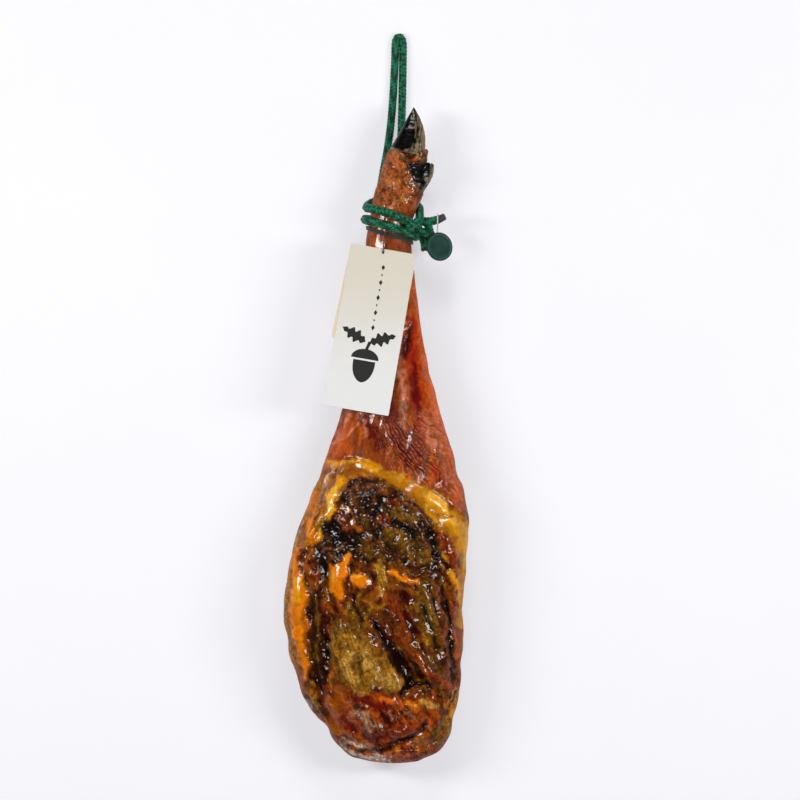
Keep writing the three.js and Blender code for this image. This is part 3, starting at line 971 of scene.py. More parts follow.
# Patches within an area: tone, a shift of the pattern, the level above which it shows, and its strength.
MOTTLES = dict(
    lean=[
        ("olive_light", 1.3, 0.15, 0.75),
        ("red_brown", 5.1, 0.1, 0.8),
        ("fat_brown", 8.4, 0.3, 0.8),
        ("black", 11.2, 0.3, 0.85),
    ],
    crust=[
        ("olive", 2.1, 0.05, 0.7),
        ("red_brown", 4.2, 0.35, 0.6),
        ("crust_grey", 6.3, 0.3, 0.6),
        ("black", 9.7, 0.05, 0.85),
    ],
    fat_yellow=[("fat_gold", 3.3, 0.1, 0.7), ("fat_pale", 7.1, 0.25, 0.6), ("fat_brown", 5.9, 0.5, 0.5)],
    flank=[("fat_gold", 2.7, 0.15, 0.6), ("tan", 6.1, 0.2, 0.6), ("fat_orange", 9.3, 0.35, 0.5)],
    lobe=[
        ("dark_red", 2.2, 0.15, 0.8),
        ("fat_orange", 4.7, 0.3, 0.6),
        ("deep_red", 8.3, 0.25, 0.6),
        # painted highlights in patches over the lower lobes
        ("grey_pink", 6.9, 0.45, 0.6),
        ("black", 12.6, 0.4, 0.7),
    ],
    bone=[("bone_dark", 2.9, 0.3, 0.5), ("bone_light", 5.5, 0.1, 0.7), ("fat_brown", 8.8, 0.4, 0.5)],
)

# Brush marks: tone, softness of the edge, rise in millimetres, and points with their half width.

SKIN_MARKS = [
    ("skin_orange", 7, 0, [(44, 170, 6), (49, 100, 8), (60, 40, 9), (76, -10, 9), (90, -62, 9)]),
    ("skin_red", 6, 0, [(38, 120, 5), (40, 70, 6), (48, 20, 6), (56, -12, 3)]),
    ("skin_red", 5, 0, [(62, -34, 2), (70, -56, 2)]),
    ("skin_maroon", 3, -0.8, [(35, 114, 2), (33, 100, 4), (30, 84, 4)]),
    ("skin_deep", 3, -0.6, [(41, 74, 2.5), (42, 44, 3.5), (49, 20, 3)]),
    ("skin_orange", 4, 0.5, [(52, 104, 3), (58, 60, 3), (64, 20, 4)]),
    ("skin_purple", 7, 0, [(14, 24, 12), (26, 4, 14), (40, -22, 12)]),
    ("skin_deep", 5, -0.5, [(-12, 16, 7), (-4, 4, 7), (6, -12, 6)]),
    ("skin_deep", 4, 0, [(16, -6, 3), (30, -24, 4), (48, -40, 3)]),
    ("skin_orange", 6, 0, [(-32, 8, 6), (-38, -14, 8), (-48, -26, 6)]),
    # painted highlights: pale streaks over the skin
    ("skin_pink", 1.5, 0.5, [(-20, 10, 0.8), (-34, -4, 1), (-46, -12, 0.8)]),
    ("skin_pink", 1.5, 0.4, [(-28, 20, 0.6), (-36, 4, 0.9), (-42, -6, 0.6)]),
    # painted highlights on the shank
    ("skin_pink", 3, 0.5, [(25, 62, 1), (28, 42, 2), (30, 20, 3), (31, 6, 1)]),
    ("skin_pink", 6, 0.3, [(24, 86, 2), (25, 62, 3.5), (30, 40, 2.5)]),
    ("grey_pink", 5, 0.3, [(29, 32, 1.5), (31, 14, 2)]),
    ("skin_pink", 7, 0.3, [(52, 18, 3), (61, -12, 3)]),
    ("skin_deep", 4, 0, [(33, 104, 2), (31, 84, 2.5)]),
    # a painted highlight
    ("skin_pink", 2, 0.3, [(-12, 16, 0.8), (-13, -5, 0.8)]),
    ("skin_brown", 6, 0, [(-20, 150, 6), (-24, 90, 7), (-36, 30, 6)]),
]
FOOT_MARKS = [
    ("foot", 9, 0, [(10, 250, 24), (26, 282, 24)]),
    ("foot_brown", 5, 0, [(50, 258, 7), (56, 280, 7), (54, 300, 7)]),
    ("foot_brown", 3, 0, [(22, 310, 3), (32, 298, 3), (40, 288, 3)]),
    ("heel", 3, 0.8, [(48, 305, 3.5), (50, 294, 3)]),
    ("black", 1.2, -1.4, [(43, 306, 0.6), (48, 299.5, 0.8), (56, 298, 0.6)]),
    ("heel", 3, 0.5, [(40, 300, 2)]),
    ("heel", 2, 0.6, [(55, 305, 2.2), (56, 295, 2.2)]),
    # painted shade in the crevice between claw and dewclaw
    ("black", 2.5, -2, [(32, 285, 1), (38, 286, 3), (47, 289, 2.6)]),
    ("foot_grey", 2, 0.4, [(35, 274, 1), (43, 262, 1.4)]),
    ("foot_brown", 2, -0.6, [(34, 291, 2), (27, 296, 1.5)]),
    ("foot_brown", 1.5, -1.3, [(27, 275, 0.6), (36, 284, 1), (46, 288, 1), (56, 291, 0.8)]),
    ("foot_brown", 1.5, -1.4, [(39, 280, 0.8), (44, 270, 1), (51, 261, 0.8)]),
    ("foot_brown", 1.5, -0.8, [(12, 246, 0.4), (24, 251, 0.8), (38, 247, 0.6)]),
    ("foot_brown", 1.5, -0.7, [(36, 254, 0.5), (45, 258, 0.8)]),
    ("skin_deep", 2, 0, [(14, 289, 1.6), (16, 286, 1.4)]),
    ("skin_deep", 2, -0.5, [(3, 255, 1.5), (8, 260, 1.8), (11, 263, 1)]),
    ("skin_deep", 2, 0, [(26, 266, 1.5)]),
    ("foot_yellow", 2, 0.6, [(2, 257, 1.6)]),
    ("foot_yellow", 3, 0.5, [(22, 270, 2)]),
    ("foot_yellow", 4, 0, [(30, 250, 3)]),
    # a painted highlight on the foot
    ("skin_pink", 2, 0.5, [(14, 242, 1), (21, 250, 1)]),
    ("foot_grey", 2, 0.6, [(18, 306, 0.8), (23, 302, 1.2), (30, 296, 1)]),
    ("foot_grey", 1.5, 0.8, [(48, 282, 0.8), (58, 289, 0.8)]),
    # painted shade: the crevice between claw and dewclaw painted near-black
    ("horn_black", 1.5, 0.8, [(33, 284.5, 1.5), (40, 281, 5.5), (46, 277, 9)]),
    ("horn_black", 1.5, 0, [(36, 284, 1.5), (40, 281, 4.5), (46, 277, 8)]),
]
FAT_MARKS = [
    ("fat_brown", 5, 0, [(-56, -42, 7), (-20, -41, 6), (0, -42, 3)]),
    ("fat_yellow", 4, 0.8, [(-49, -31, 3), (-36, -30, 2)]),
    ("fat_yellow", 4, 0.6, [(-16, -33, 2), (-2, -37, 4)]),
    ("fat_gold", 4, 0, [(8, -45, 3), (30, -57, 5), (48, -68, 6)]),
    ("fat_pale", 4, 0.8, [(56, -66, 4), (70, -74, 5)]),
    ("fat_yellow", 5, 1, [(62, -76, 8), (80, -96, 9), (90, -120, 6)]),
    ("fat_gold", 3, -0.6, [(58, -80, 2), (72, -98, 2), (84, -112, 2)]),
    ("fat_pale", 2, 0.6, [(72, -80, 1.5), (84, -96, 1.5)]),
    # the fat's own pale colour, brightened here as painted light where the side turns away from the lights
    ("fat_pale", 3, 0, [(98, -98, 3), (97, -130, 3), (95, -165, 3)]),
    ("fat_brown", 2, -0.5, [(66, -86, 1), (82, -88, 1)]),
    ("fat_yellow", 3, 0, [(93, -176, 4), (92, -205, 3)]),
    ("fat_brown", 4, 0, [(93, -218, 4), (92, -240, 4)]),
    ("edge_brown", 4, 0, [(91, -245, 4), (90, -268, 4)]),
    ("tan", 3, 0, [(87, -284, 3), (84, -300, 3), (79, -322, 3)]),
    ("fat_gold", 3, 0, [(93, -150, 3), (91, -200, 3)]),
    ("fat_brown", 5, 0, [(-75, -106, 5), (-80, -116, 5)]),
    # painted highlights: pale streaks over the left flank
    ("sheen", 1.2, 0.7, [(-45, -35, 0.3), (-53, -50, 0.8), (-61, -80, 0.4)]),
    ("grey_pink", 2, 0.4, [(-36, -26, 0.8), (-43, -46, 1), (-50, -62, 0.6)]),
    ("fat_brown", 2, -0.8, [(-42, -36, 1.2), (-48, -56, 1.4), (-58, -82, 1)]),
    ("red_brown", 2, -1, [(-54, -58, 0.8), (-62, -84, 1.2), (-68, -104, 0.8)]),
    # a painted highlight streak
    ("sheen", 1.2, 0.5, [(-73, -78, 0.4), (-80, -100, 0.7), (-86, -124, 0.4)]),
    ("fat_orange", 3, 0.4, [(-64, -66, 2.5), (-70, -82, 2.5)]),
    ("fat_yellow", 3, 1.6, [(-37, -50, 5), (-45, -64, 6), (-49, -80, 5.5), (-56, -97, 3.5), (-62, -112, 2)]),
    ("fat_pale", 3, 0.8, [(-43, -58, 2), (-48, -76, 2)]),
    ("fat_orange", 3, 1, [(-71, -95, 4), (-67, -114, 4.5)]),
    ("tan", 4, 0, [(-86, -112, 4), (-90, -132, 3)]),
]
CRUST_MARKS = [
    ("crust_grey", 4, 1, [(-26, -62, 5), (-6, -56, 5), (14, -62, 4)]),
    ("olive", 5, 0.8, [(14, -106, 8), (30, -118, 9), (52, -132, 8)]),
    ("olive", 4, 0.6, [(22, -84, 6), (40, -90, 6)]),
    ("olive", 4, 0, [(-14, -118, 5), (-4, -128, 5)]),
    ("black", 4, -1.6, [(5, -70, 6), (1, -86, 6)]),
    ("black", 4, -1.6, [(48, -88, 5), (56, -100, 6), (62, -114, 5)]),
    ("black", 4, -1.8, [(-52, -98, 6), (-38, -110, 8), (-24, -118, 4)]),
    ("black", 3, -0.6, [(-46, -100, 5), (-44, -118, 5)]),
    ("red_brown", 4, -0.6, [(-80, -128, 5), (-74, -140, 7), (-66, -150, 6)]),
    ("fat_brown", 3, 0.4, [(-70, -124, 2), (-76, -138, 2.5), (-72, -148, 2)]),
    ("black", 4, -1.2, [(-58, -126, 5), (-55, -140, 6), (-50, -150, 4)]),
    ("black", 3, -1, [(20, -94, 3), (36, -104, 3)]),
    ("red_brown", 3, 0.6, [(6, -92, 4), (15, -94, 3)]),
    ("red_brown", 3, 0.4, [(17, -76, 3), (24, -72, 3)]),
    ("fat_brown", 2.5, 1, [(-35, -78, 4), (-28, -84, 3)]),
    ("fat_brown", 2.5, 0.8, [(-25, -92, 3.5), (-18, -101, 3)]),
    ("red_brown", 3, 0, [(-42, -84, 3), (-30, -98, 3)]),
    ("crust_grey", 2, 1.4, [(24, -66, 1.6), (44, -80, 2), (56, -96, 1.6)]),
    ("crust_grey", 2, 1.2, [(-36, -122, 1.4), (-58, -126, 1.4)]),
    # painted highlights: small white streaks on the crust
    ("sheen", 0.8, 0.8, [(-41, -121, 0.3), (-39, -130, 0.4)]),
    ("sheen", 0.8, 0.8, [(-10, -105, 0.6), (-6, -109, 0.6)]),
]
RIGHT_MARKS = [
    ("red_brown", 3, 0.8, [(65, -102, 2.5), (74, -115, 7), (81, -130, 7), (85, -150, 4), (84, -164, 3)]),
    ("fat_gold", 2, 1, [(72, -129, 2.6), (73, -141, 2.8)]),
    ("black", 2, -1.5, [(60, -118, 2), (66, -130, 2), (77, -143, 2)]),
    ("fat_yellow", 2, 0.5, [(80, -148, 3), (86, -160, 3), (88, -180, 2)]),
    ("red_brown", 2, 0, [(80, -174, 3), (83, -194, 3)]),
    ("olive", 5, 0.6, [(52, -164, 7), (60, -190, 10), (62, -222, 9)]),
    ("olive_light", 2.5, 0.4, [(44, -170, 3), (47, -178, 3)]),
    ("olive_light", 2, 0.3, [(50, -214, 2), (54, -226, 2)]),
    ("dark_brown", 3, -0.6, [(74, -182, 3), (77, -198, 3)]),
    ("red_brown", 3, 0, [(70, -208, 3), (72, -220, 3)]),
    ("olive", 4, 0, [(44, -176, 5), (56, -208, 5)]),
    ("black", 1.6, -1, [(56, -160, 1), (64, -186, 1.4), (70, -206, 1)]),
    ("black", 1.6, -1.2, [(48, -184, 1), (58, -206, 1.4), (66, -230, 1.2)]),
    ("black", 1.8, -1, [(70, -162, 1.2), (78, -196, 1.6), (80, -222, 1.2)]),
    ("red_brown", 2, 0, [(62, -170, 1.4), (72, -196, 1.6)]),
    ("bone_light", 1.2, 0.5, [(55, -211, 0.8), (62, -214, 0.8)]),
    ("black", 2, -1.5, [(81, -222, 2), (83, -262, 2.4)]),
    ("dark_brown", 3, 0, [(66, -248, 3), (76, -240, 3)]),
    ("olive", 3, 0, [(58, -236, 3), (72, -262, 3)]),
]
MIDDLE_MARKS = [
    ("lean", 6, 0, [(-20, -180, 14), (0, -190, 14)]),
    ("red_brown", 4, 0, [(10, -174, 5), (22, -186, 6)]),
    ("dark_red", 4, 0, [(12, -186, 3), (24, -200, 3)]),
    ("olive", 5, 0, [(-34, -196, 8), (-16, -190, 8)]),
    ("straw", 3, 0.5, [(2, -140, 4), (8, -156, 4.5), (2, -172, 2.5)]),
    ("fat_brown", 3, 0.6, [(0, -168, 2.5), (-4, -178, 4)]),
    ("fat_orange", 2.5, 0, [(8, -164, 2), (9, -174, 2)]),
    ("dark_red", 4, -1, [(27, -166, 5), (32, -177, 6)]),
    ("red_brown", 4, 0, [(20, -188, 6), (38, -212, 7)]),
    ("dark_red", 2, -0.8, [(31, -190, 3), (36, -203, 4.5), (45, -212, 3)]),
    ("olive_light", 2, 0.4, [(-12, -176, 1.5), (0, -184, 2), (12, -182, 1.2)]),
    ("olive_light", 2, 0.3, [(-14, -168, 1.4), (-22, -186, 1.8), (-26, -198, 1)]),
    ("olive_light", 2, 0.3, [(-4, -186, 1.2), (-12, -200, 1.6)]),
    ("black", 2, -0.8, [(-24, -172, 2), (-22, -186, 2.4), (-14, -200, 1.8)]),
    ("olive_light", 2.5, 0.3, [(-30, -182, 2), (-36, -200, 2.4)]),
    (
        "fat_orange",
        2.5,
        1.6,
        [(-27, -129, 2), (-34, -139, 5), (-41, -150, 10), (-41, -163, 8.5), (-39, -176, 4)],
    ),
    ("fat_brown", 2.5, 0.5, [(-38, -180, 3), (-38, -190, 2)]),
    ("red_brown", 3, 0, [(-38, -182, 4), (-36, -196, 3)]),
    ("fat_yellow", 2.5, 0.4, [(-44, -148, 2), (-43, -156, 1.5)]),
    ("fat_brown", 2, -0.6, [(-34, -158, 1.6), (-33, -172, 2)]),
    ("fat_orange", 2.5, 1.8, [(-19, -154, 7), (-13, -156, 7)]),
    ("fat_yellow", 2.5, 0.4, [(-18, -152, 2.5)]),
    ("fat_orange", 2, 1.2, [(14, -147, 2.5), (28, -154, 3.4), (45, -157, 2.6)]),
    ("fat_brown", 2.5, 0.3, [(20, -162, 3.5), (38, -166, 3.5)]),
]
LEFT_MARKS = [
    ("dark_brown", 4, -1.6, [(-64, -172, 7), (-62, -200, 8), (-60, -232, 9), (-60, -262, 7)]),
    ("black", 3, -1, [(-53, -222, 2.4), (-52, -244, 3), (-54, -262, 2)]),
    ("black", 3, -0.8, [(-70, -186, 1.5), (-71, -220, 2)]),
    ("dark_red", 3, 0, [(-54, -194, 3.5), (-55, -216, 3.5)]),
    ("red_brown", 3, 0.5, [(-56, -182, 2), (-52, -190, 2.4)]),
    ("olive", 2, 0.6, [(-64, -176, 1.6), (-62, -206, 1.4), (-64, -240, 1.6)]),
    ("olive", 2, 0.6, [(-47, -214, 2), (-46, -240, 2), (-44, -262, 2)]),
    ("lean", 3, 0, [(-73, -168, 2.5), (-74, -210, 3), (-72, -250, 3)]),
    ("flank", 3, 0, [(-94, -150, 6), (-97, -210, 9), (-88, -262, 7), (-74, -296, 5)]),
    (
        "fat_orange",
        2.5,
        1,
        [(-86, -126, 2.5), (-86, -146, 4), (-83, -164, 8), (-83, -186, 9), (-82, -212, 8)],
    ),
    ("fat_orange", 2.5, 0.8, [(-82, -212, 7), (-79, -232, 4.5), (-76, -250, 3.2), (-77, -262, 1.6)]),
    ("fat_yellow", 3, 0.6, [(-84, -158, 3), (-85, -176, 4)]),
    ("fat_brown", 2, -0.6, [(-75, -176, 1.4), (-77, -196, 1.8), (-75, -226, 1.4)]),
    ("dark_red", 1.5, -0.8, [(-87, -207, 1.2)]),
    ("tan", 3, 0, [(-97, -156, 2.6), (-99, -196, 2.6), (-92, -238, 3), (-80, -276, 3)]),
    ("olive_light", 3, 0.8, [(-70, -276, 3.4), (-64, -292, 3.4)]),
    ("fat_brown", 4, 0, [(-90, -254, 5), (-82, -276, 7), (-70, -300, 7), (-58, -316, 5)]),
    ("olive_light", 3, 0, [(-85, -262, 2.5), (-78, -282, 3), (-66, -304, 3)]),
    ("dark_brown", 3, 0, [(-74, -280, 2), (-64, -300, 2.5)]),
    # a painted highlight streak
    ("sheen", 1, 0, [(-73, -286, 0.6), (-67, -296, 0.9)]),
    ("crust", 3, -0.8, [(-60, -284, 2.4), (-56, -302, 2.4)]),
    ("fat_brown", 3, 0.4, [(-50, -246, 2), (-47, -258, 2.4)]),
]
BONE_MARKS = [
    ("bone_dark", 3, -0.8, [(-24, -247, 3.2)]),
    ("bone_light", 4, 0.4, [(-12, -234, 3.5), (-11, -250, 3.5)]),
    ("bone_dark", 4, 0, [(-38, -208, 5), (-18, -212, 5)]),
    ("bone_dark", 1.5, -0.4, [(-40, -220, 0.8), (-38, -238, 0.8), (-32, -252, 0.6)]),
    ("bone_light", 3, 0.4, [(-26, -233, 3), (-34, -244, 2.4), (-24, -262, 3)]),
    ("bone_dark", 1.5, -0.3, [(-16, -256, 0.7), (-4, -252, 0.7), (6, -246, 0.7)]),
    ("bone_dark", 1.5, -0.3, [(-18, -228, 0.7), (-14, -240, 0.7), (-18, -250, 0.7)]),
    ("bone_light", 4, 0.3, [(12, -262, 2), (25, -268, 3)]),
    ("olive", 3, 0, [(-30, -203, 3), (-10, -206, 3)]),
    ("bone_dark", 1, -0.8, [(-10, -269, 0.6)]),
    ("bone_dark", 1, -0.8, [(-5, -271, 0.6)]),
    ("bone_light", 4, 0.2, [(-4, -246, 3), (6, -258, 4)]),
    ("slit", 2.5, -2.5, [(-2, -201, 3), (11, -220, 4.6), (20, -236, 6.4), (28, -249, 6), (36, -263, 4)]),
    ("dark_red", 3, 0, [(8, -206, 3), (20, -222, 3)]),
    ("red_brown", 2, 0.8, [(22, -214, 2.4), (45, -240, 3.4), (60, -257, 3.6), (80, -274, 3)]),
    ("fat_brown", 1.5, 0.3, [(32, -226, 1.2), (44, -236, 0.8), (50, -246, 1.4), (58, -255, 1.4)]),
    ("black", 2, -1, [(38, -246, 2), (50, -260, 2.4)]),
    ("slit", 2, -2, [(29, -279, 2), (33, -270, 2.6), (42, -266, 2.8), (52, -267, 2.8), (58, -272, 2)]),
]
LOWER_MARKS = [
    ("fat_brown", 5, 0.6, [(-38, -270, 3.5), (-42, -286, 5), (-43, -316, 6)]),
    ("deep_red", 4, 0, [(-20, -284, 4), (-4, -289, 5), (10, -292, 4)]),
    ("fat_orange", 4, 0.8, [(34, -288, 2.5), (42, -291, 3)]),
    ("skin_orange", 3, 0.6, [(6, -280, 3), (18, -286, 3)]),
    ("tan", 3, 0.6, [(48, -286, 3), (64, -292, 3)]),
    ("dark_red", 3, -0.8, [(6, -300, 4), (16, -310, 4), (12, -320, 3)]),
    # a painted sheen and highlight over the lower end
    ("purple_grey", 4, 1, [(-26, -300, 2), (-10, -301, 3), (-4, -314, 2)]),
    ("grey_pink", 2.5, 0.5, [(-24, -296, 1), (-12, -304, 2), (-6, -316, 1)]),
    ("deep_red", 3, 0, [(-36, -300, 3), (-26, -316, 4)]),
    ("red_brown", 3, 0.5, [(8, -316, 4), (28, -318, 4)]),
    ("black", 2.5, -1.6, [(52, -311, 2), (43, -322, 2.6), (26, -330, 2.6), (8, -337, 2.2), (-20, -341, 1.8)]),
    ("olive", 4, 0, [(62, -318, 5), (68, -330, 4)]),
    ("dark_brown", 3, -0.6, [(71, -300, 3), (72, -314, 4)]),
    ("fat_brown", 3, 0.4, [(60, -296, 3), (65, -302, 2)]),
    ("olive_light", 3, 0.5, [(74, -300, 3), (75, -322, 3)]),
    ("fat_yellow", 1.5, 0.6, [(80, -289, 1.4), (81, -322, 1.4)]),
    ("fat_brown", 3, 0.6, [(48, -320, 3.5), (54, -338, 4)]),
    ("tan", 1.2, 0.8, [(85, -272, 0.8), (80, -282, 1.2), (75, -291, 0.8)]),
    ("tan", 1.2, 0.6, [(88, -276, 0.6), (83, -290, 0.8)]),
    ("edge_brown", 2, 0, [(-34, -341, 2), (-6, -349, 2), (30, -350, 2), (60, -341, 2)]),
    ("fat_brown", 2, 0.3, [(-38, -334, 2), (-12, -346, 1.6)]),
    ("deep_red", 3, -0.5, [(-10, -326, 2), (22, -324, 2)]),
    # painted highlights along the lower rim
    ("grey_pink", 3, 0.6, [(-34, -328, 2), (-16, -335, 2.4), (4, -345, 2)]),
    ("sheen", 1.5, 0, [(-40, -330, 0.8), (-26, -341, 1.6), (-6, -348, 1.6), (14, -350, 0.8)]),
    ("sheen", 1.5, 0.3, [(-36, -326, 0.6), (-22, -333, 1), (-12, -336, 0.5)]),
    ("sheen", 1.5, 0.3, [(-6, -344, 0.6), (6, -346, 1), (16, -346, 0.5)]),
]
MARKS = [
    SKIN_MARKS,
    FOOT_MARKS,
    FAT_MARKS,
    CRUST_MARKS,
    RIGHT_MARKS,
    MIDDLE_MARKS,
    LEFT_MARKS,
    BONE_MARKS,
    LOWER_MARKS,
]


def linear(tone):
    return np.array(colour(*tone)[:3])


COARSENESS = dict(fat=0.12, bone=0.85, skin=0.3, foot=0.85, heel=0.8, horn=0.1, crust=1.1, lobe=0.8)
DRIED_MEAT = 0.95  # all other tones


def coarseness(tone):
    """How rough and mottled a tone's surface is, by the first word of its name."""
    return COARSENESS.get(tone.split("_")[0], DRIED_MEAT)


def blurred(field, cells):
    """The field averaged over neighbours within that many cells."""
    for axis in (0, 1):
        field = sum(np.roll(field, k, axis) for k in range(-cells, cells + 1)) / (2 * cells + 1)
    return field


def paint_and_relief(form):
    """Colour and coarseness of every point of the leg, and how far the marks raise it, seen from above."""
    fine = lumps(form, 4.5, 3, 7.7)
    x = form[..., 0] + 2.6 * lumps(form, 8, 3, 3.1)
    y = form[..., 1] + 2.6 * lumps(form, 8, 3, 5.3)
    paint = np.zeros(form.shape[:2] + (4,))

    def brush(tone, share):
        wanted = np.array([*linear(TONES[tone]), coarseness(tone)])
        paint[...] += share[..., None] * (wanted - paint)

    brush("skin", np.ones(form.shape[:2]))
    skin_mottle = streaks(form, -10, 14, 4, 3, 4.9)
    brush("skin_orange", 0.7 * step(0.1, 0.7, skin_mottle))
    brush("skin_brown", 0.6 * step(0.15, 0.7, -skin_mottle))
    rise = np.zeros(form.shape[:2])
    for tone, edge, corners in AREAS:
        share = 1 - step(-edge, edge, area_distance(corners, x, y) + 2.0 * fine)
        brush(tone, share)
        for other, shift, low, strength in MOTTLES.get(tone, []):
            turn = 24 if tone in ("lean", "crust", "lobe") else 0
            patch = streaks(form, turn, 11, 6, 3, shift)
            brush(other, strength * share * step(low, low + 0.35, patch))
    for tone, edge, lift, points in (mark for marks in MARKS for mark in marks):
        distance = stroke_distance(points, x, y)
        share = 1 - step(-edge, edge, distance + 0.7 * edge * fine)
        brush(tone, 0.97 * share)
        rise += lift * (1 - step(-edge - 1, edge + 1, distance))
    return paint, rise


# The skin is drawn in under the horn beyond this line across the foot.
HORN_EDGE = [
    (-10, 318),
    (14, 316),
    (18, 309),
    (22, 305),
    (30, 299),
    (36, 293),
    (41, 294),
    (46, 302),
    (70, 306),
]
FAN_CENTRE = (-22, 60)
FAN_LINES = 31  # in half a turn


def fine_relief(form, normal, on_face, coarse):
    """How far small forms that the part leaves out raise the leg, its grooves, and the fan for its finish."""
    x, y = form[..., 0], form[..., 1]
    wander = 2.2 * lumps(form, 9, 3, 3.1)
    lean = on_face * (1 - step(-2, 2, area_distance(LEAN_FACE, x + wander, y + wander)))
    crust = on_face * (1 - step(-3, 3, area_distance(CRUST, x + wander, y + wander)))
    fat = on_face * (1 - step(-2, 2, area_distance(FAT_RIM, x, y)))
    flank = on_face * (1 - step(-3, 3, area_distance(LEFT_FLANK, x, y)))
    skin = 1 - np.maximum.reduce([lean, fat, flank])
    crags = 1 - 2 * np.abs(lumps(form, 9, 3, 1.7))
    fibres = streaks(form, 22, 30, 7, 3, 2.2)
    lobes = 1 - 2.2 * np.abs(streaks(form, 28, 40, 17, 2, 6.4))
    rise = lean * coarse * (0.9 * fibres + 1.0 * lobes + 0.5 * lumps(form, 6, 2, 4.4))
    rise += crust * coarse * (1.0 * crags + 0.4 * lumps(form, 4, 2, 8.1))
    rise += fat * (0.5 * lumps(form, 13, 2, 2.8))
    rise += flank * 1.0 * streaks(form, -24, 44, 6, 2, 9.1)
    rise += skin * (0.45 * streaks(form, -12, 40, 6, 2, 3.9) + 0.2 * lumps(form, 11, 2, 6.2))
    # Grooves run out over the skin like a fan.
    across, down = x - FAN_CENTRE[0], FAN_CENTRE[1] - y
    turn = np.arctan2(across, down)
    reach = np.hypot(across, down)
    phase = FAN_LINES * turn + 1.6 * lumps(form, 14, 2, 5.5)
    in_reach = step(34, 60, reach) * (1 - step(150, 190, reach))
    zone = skin * on_face * in_reach * step(0.25, 0.45, turn) * (1 - step(5, 35, y))
    groove = zone * np.exp(-((np.abs(np.sin(phase)) / 0.25) ** 2))
    rise -= 0.4 * groove
    # Melted fat lies on the upper side, and the flanks are drier.
    wet = 0.25 + 0.75 * step(0.4, 0.85, normal[..., 2])
    fan = np.stack([phase, zone, wet], axis=-1)
    foot = skin * step(236, 250, y)
    rise += foot * (0.35 * lumps(form, 9, 3, 9.9) - 0.8 * np.abs(streaks(form, 62, 16, 3.4, 3, 1.2)))
    beyond_horn = y - through([dict(y=at, edge=place) for at, place in HORN_EDGE], "edge", x)
    rise -= 5 * step(-0.5, 3, beyond_horn) - 0.9 * step(-7, -2, beyond_horn) * (1 - step(-1, 2, beyond_horn))
    return rise, groove, fan


def ham_material():
    """Cured meat: the painted tones with finer mottling, under a film of melted fat."""
    material, board, shader = finish("cured_meat", Specular_IOR_Level=0.03, Coat_Roughness=0.12, Coat_IOR=1.6)
    painted = board.add("ShaderNodeAttribute", attribute_name="paint")
    paint, coarse = painted.outputs["Color"], painted.outputs["Alpha"]
    at = object_mm(board)
    patches = noise(board, at, 3.4, 4.0, 0.62, 0.6)
    grain = noise(board, at, 1.5, 3.0, 0.6)
    lines = fibre_lines(board, -22, 1.8, 16.0)
    # Darker and lighter spots, stronger on dried meat than on skin and fat.
    spots = board.range(patches, 0.32, 0.62, 0.42, 1.3)
    specks = board.range(grain, 0.34, 0.68, 0.82, 1.16)
    fibre = board.range(lines, 0.34, 0.64, 0.62, 1.2)
    shade = board.math("MULTIPLY", board.math("MULTIPLY", spots, specks), fibre)
    shade = board.math("POWER", shade, board.math("MULTIPLY_ADD", coarse, 0.85, 0.1))
    film = noise(board, at, 8.0, 3.0, 0.55)
    board.feed(shader["Roughness"], board.range(film, 0.3, 0.7, 0.36, 0.56))
    painted_fan = board.add("ShaderNodeAttribute", attribute_name="fan")
    fan = board.add("ShaderNodeSeparateXYZ", {"Vector": painted_fan.outputs["Vector"]})
    dried = board.range(coarse, 0.35, 0.9, 0.0, 1.0)
    wet = board.math("MULTIPLY", board.range(film, 0.62, 0.42, 0.1, 1.0), fan.outputs[2])
    film_share = board.math("MULTIPLY_ADD", dried, -0.3, 0.85)
    board.feed(shader["Coat Weight"], board.math("MULTIPLY", wet, film_share))
    height = board.math("ADD", board.math("MULTIPLY", patches, 0.6), board.math("MULTIPLY", grain, 0.5))
    height = board.math("MULTIPLY_ADD", lines, 0.45, height)
    pores = board.math("MULTIPLY_ADD", noise(board, at, 1.2, 2.0), 0.06, board.math("MULTIPLY", film, 0.2))
    # A fine grain all over skin and fat spreads their highlights.
    silk = board.math("MULTIPLY", noise(board, at, 0.5, 1.0), board.math("SUBTRACT", 1.0, dried))
    finest = board.math("MULTIPLY_ADD", silk, 0.025, pores)
    height = board.math("ADD", board.math("MULTIPLY", height, coarse), finest)
    # The fan of fine lines over the skin: two sets, the second one closer and weaker. Along the closer set
    # the skin is painted paler, a painted highlight.
    wide = board.math("ABSOLUTE", board.math("SINE", fan.outputs[0]))
    close = board.math("ABSOLUTE", board.math("SINE", board.math("MULTIPLY", fan.outputs[0], 2.7)))
    cut = board.math("ADD", board.range(wide, 0.0, 0.4, 0.16, 0.0), board.range(close, 0.0, 0.6, 0.09, 0.0))
    # Painted highlight along the closer lines.
    painted_line_highlight = board.math("MULTIPLY", board.range(close, 0.7, 1.0, 0.0, 0.4), board.range(patches, 0.4, 0.6))
    painted_line_highlight = board.math("MULTIPLY", painted_line_highlight, fan.outputs[1])
    toned = board.vector("SCALE", paint, shade)
    board.feed(shader["Base Color"], board.mix(painted_line_highlight, toned, colour(206, 140, 104)))
    height = board.math("SUBTRACT", height, board.math("MULTIPLY", cut, fan.outputs[1]))
    bump(board, shader, height, 2.4, 0.9)
    return material


# The sides are fuller than the part's up to the shank, and more so at two places on the left.
SIDE_FULLNESS = 1.4
LEFT_BULGES = [(-238, 30, 2.2), (-101, 10, 1.8)]  # place along the leg, half length and rise


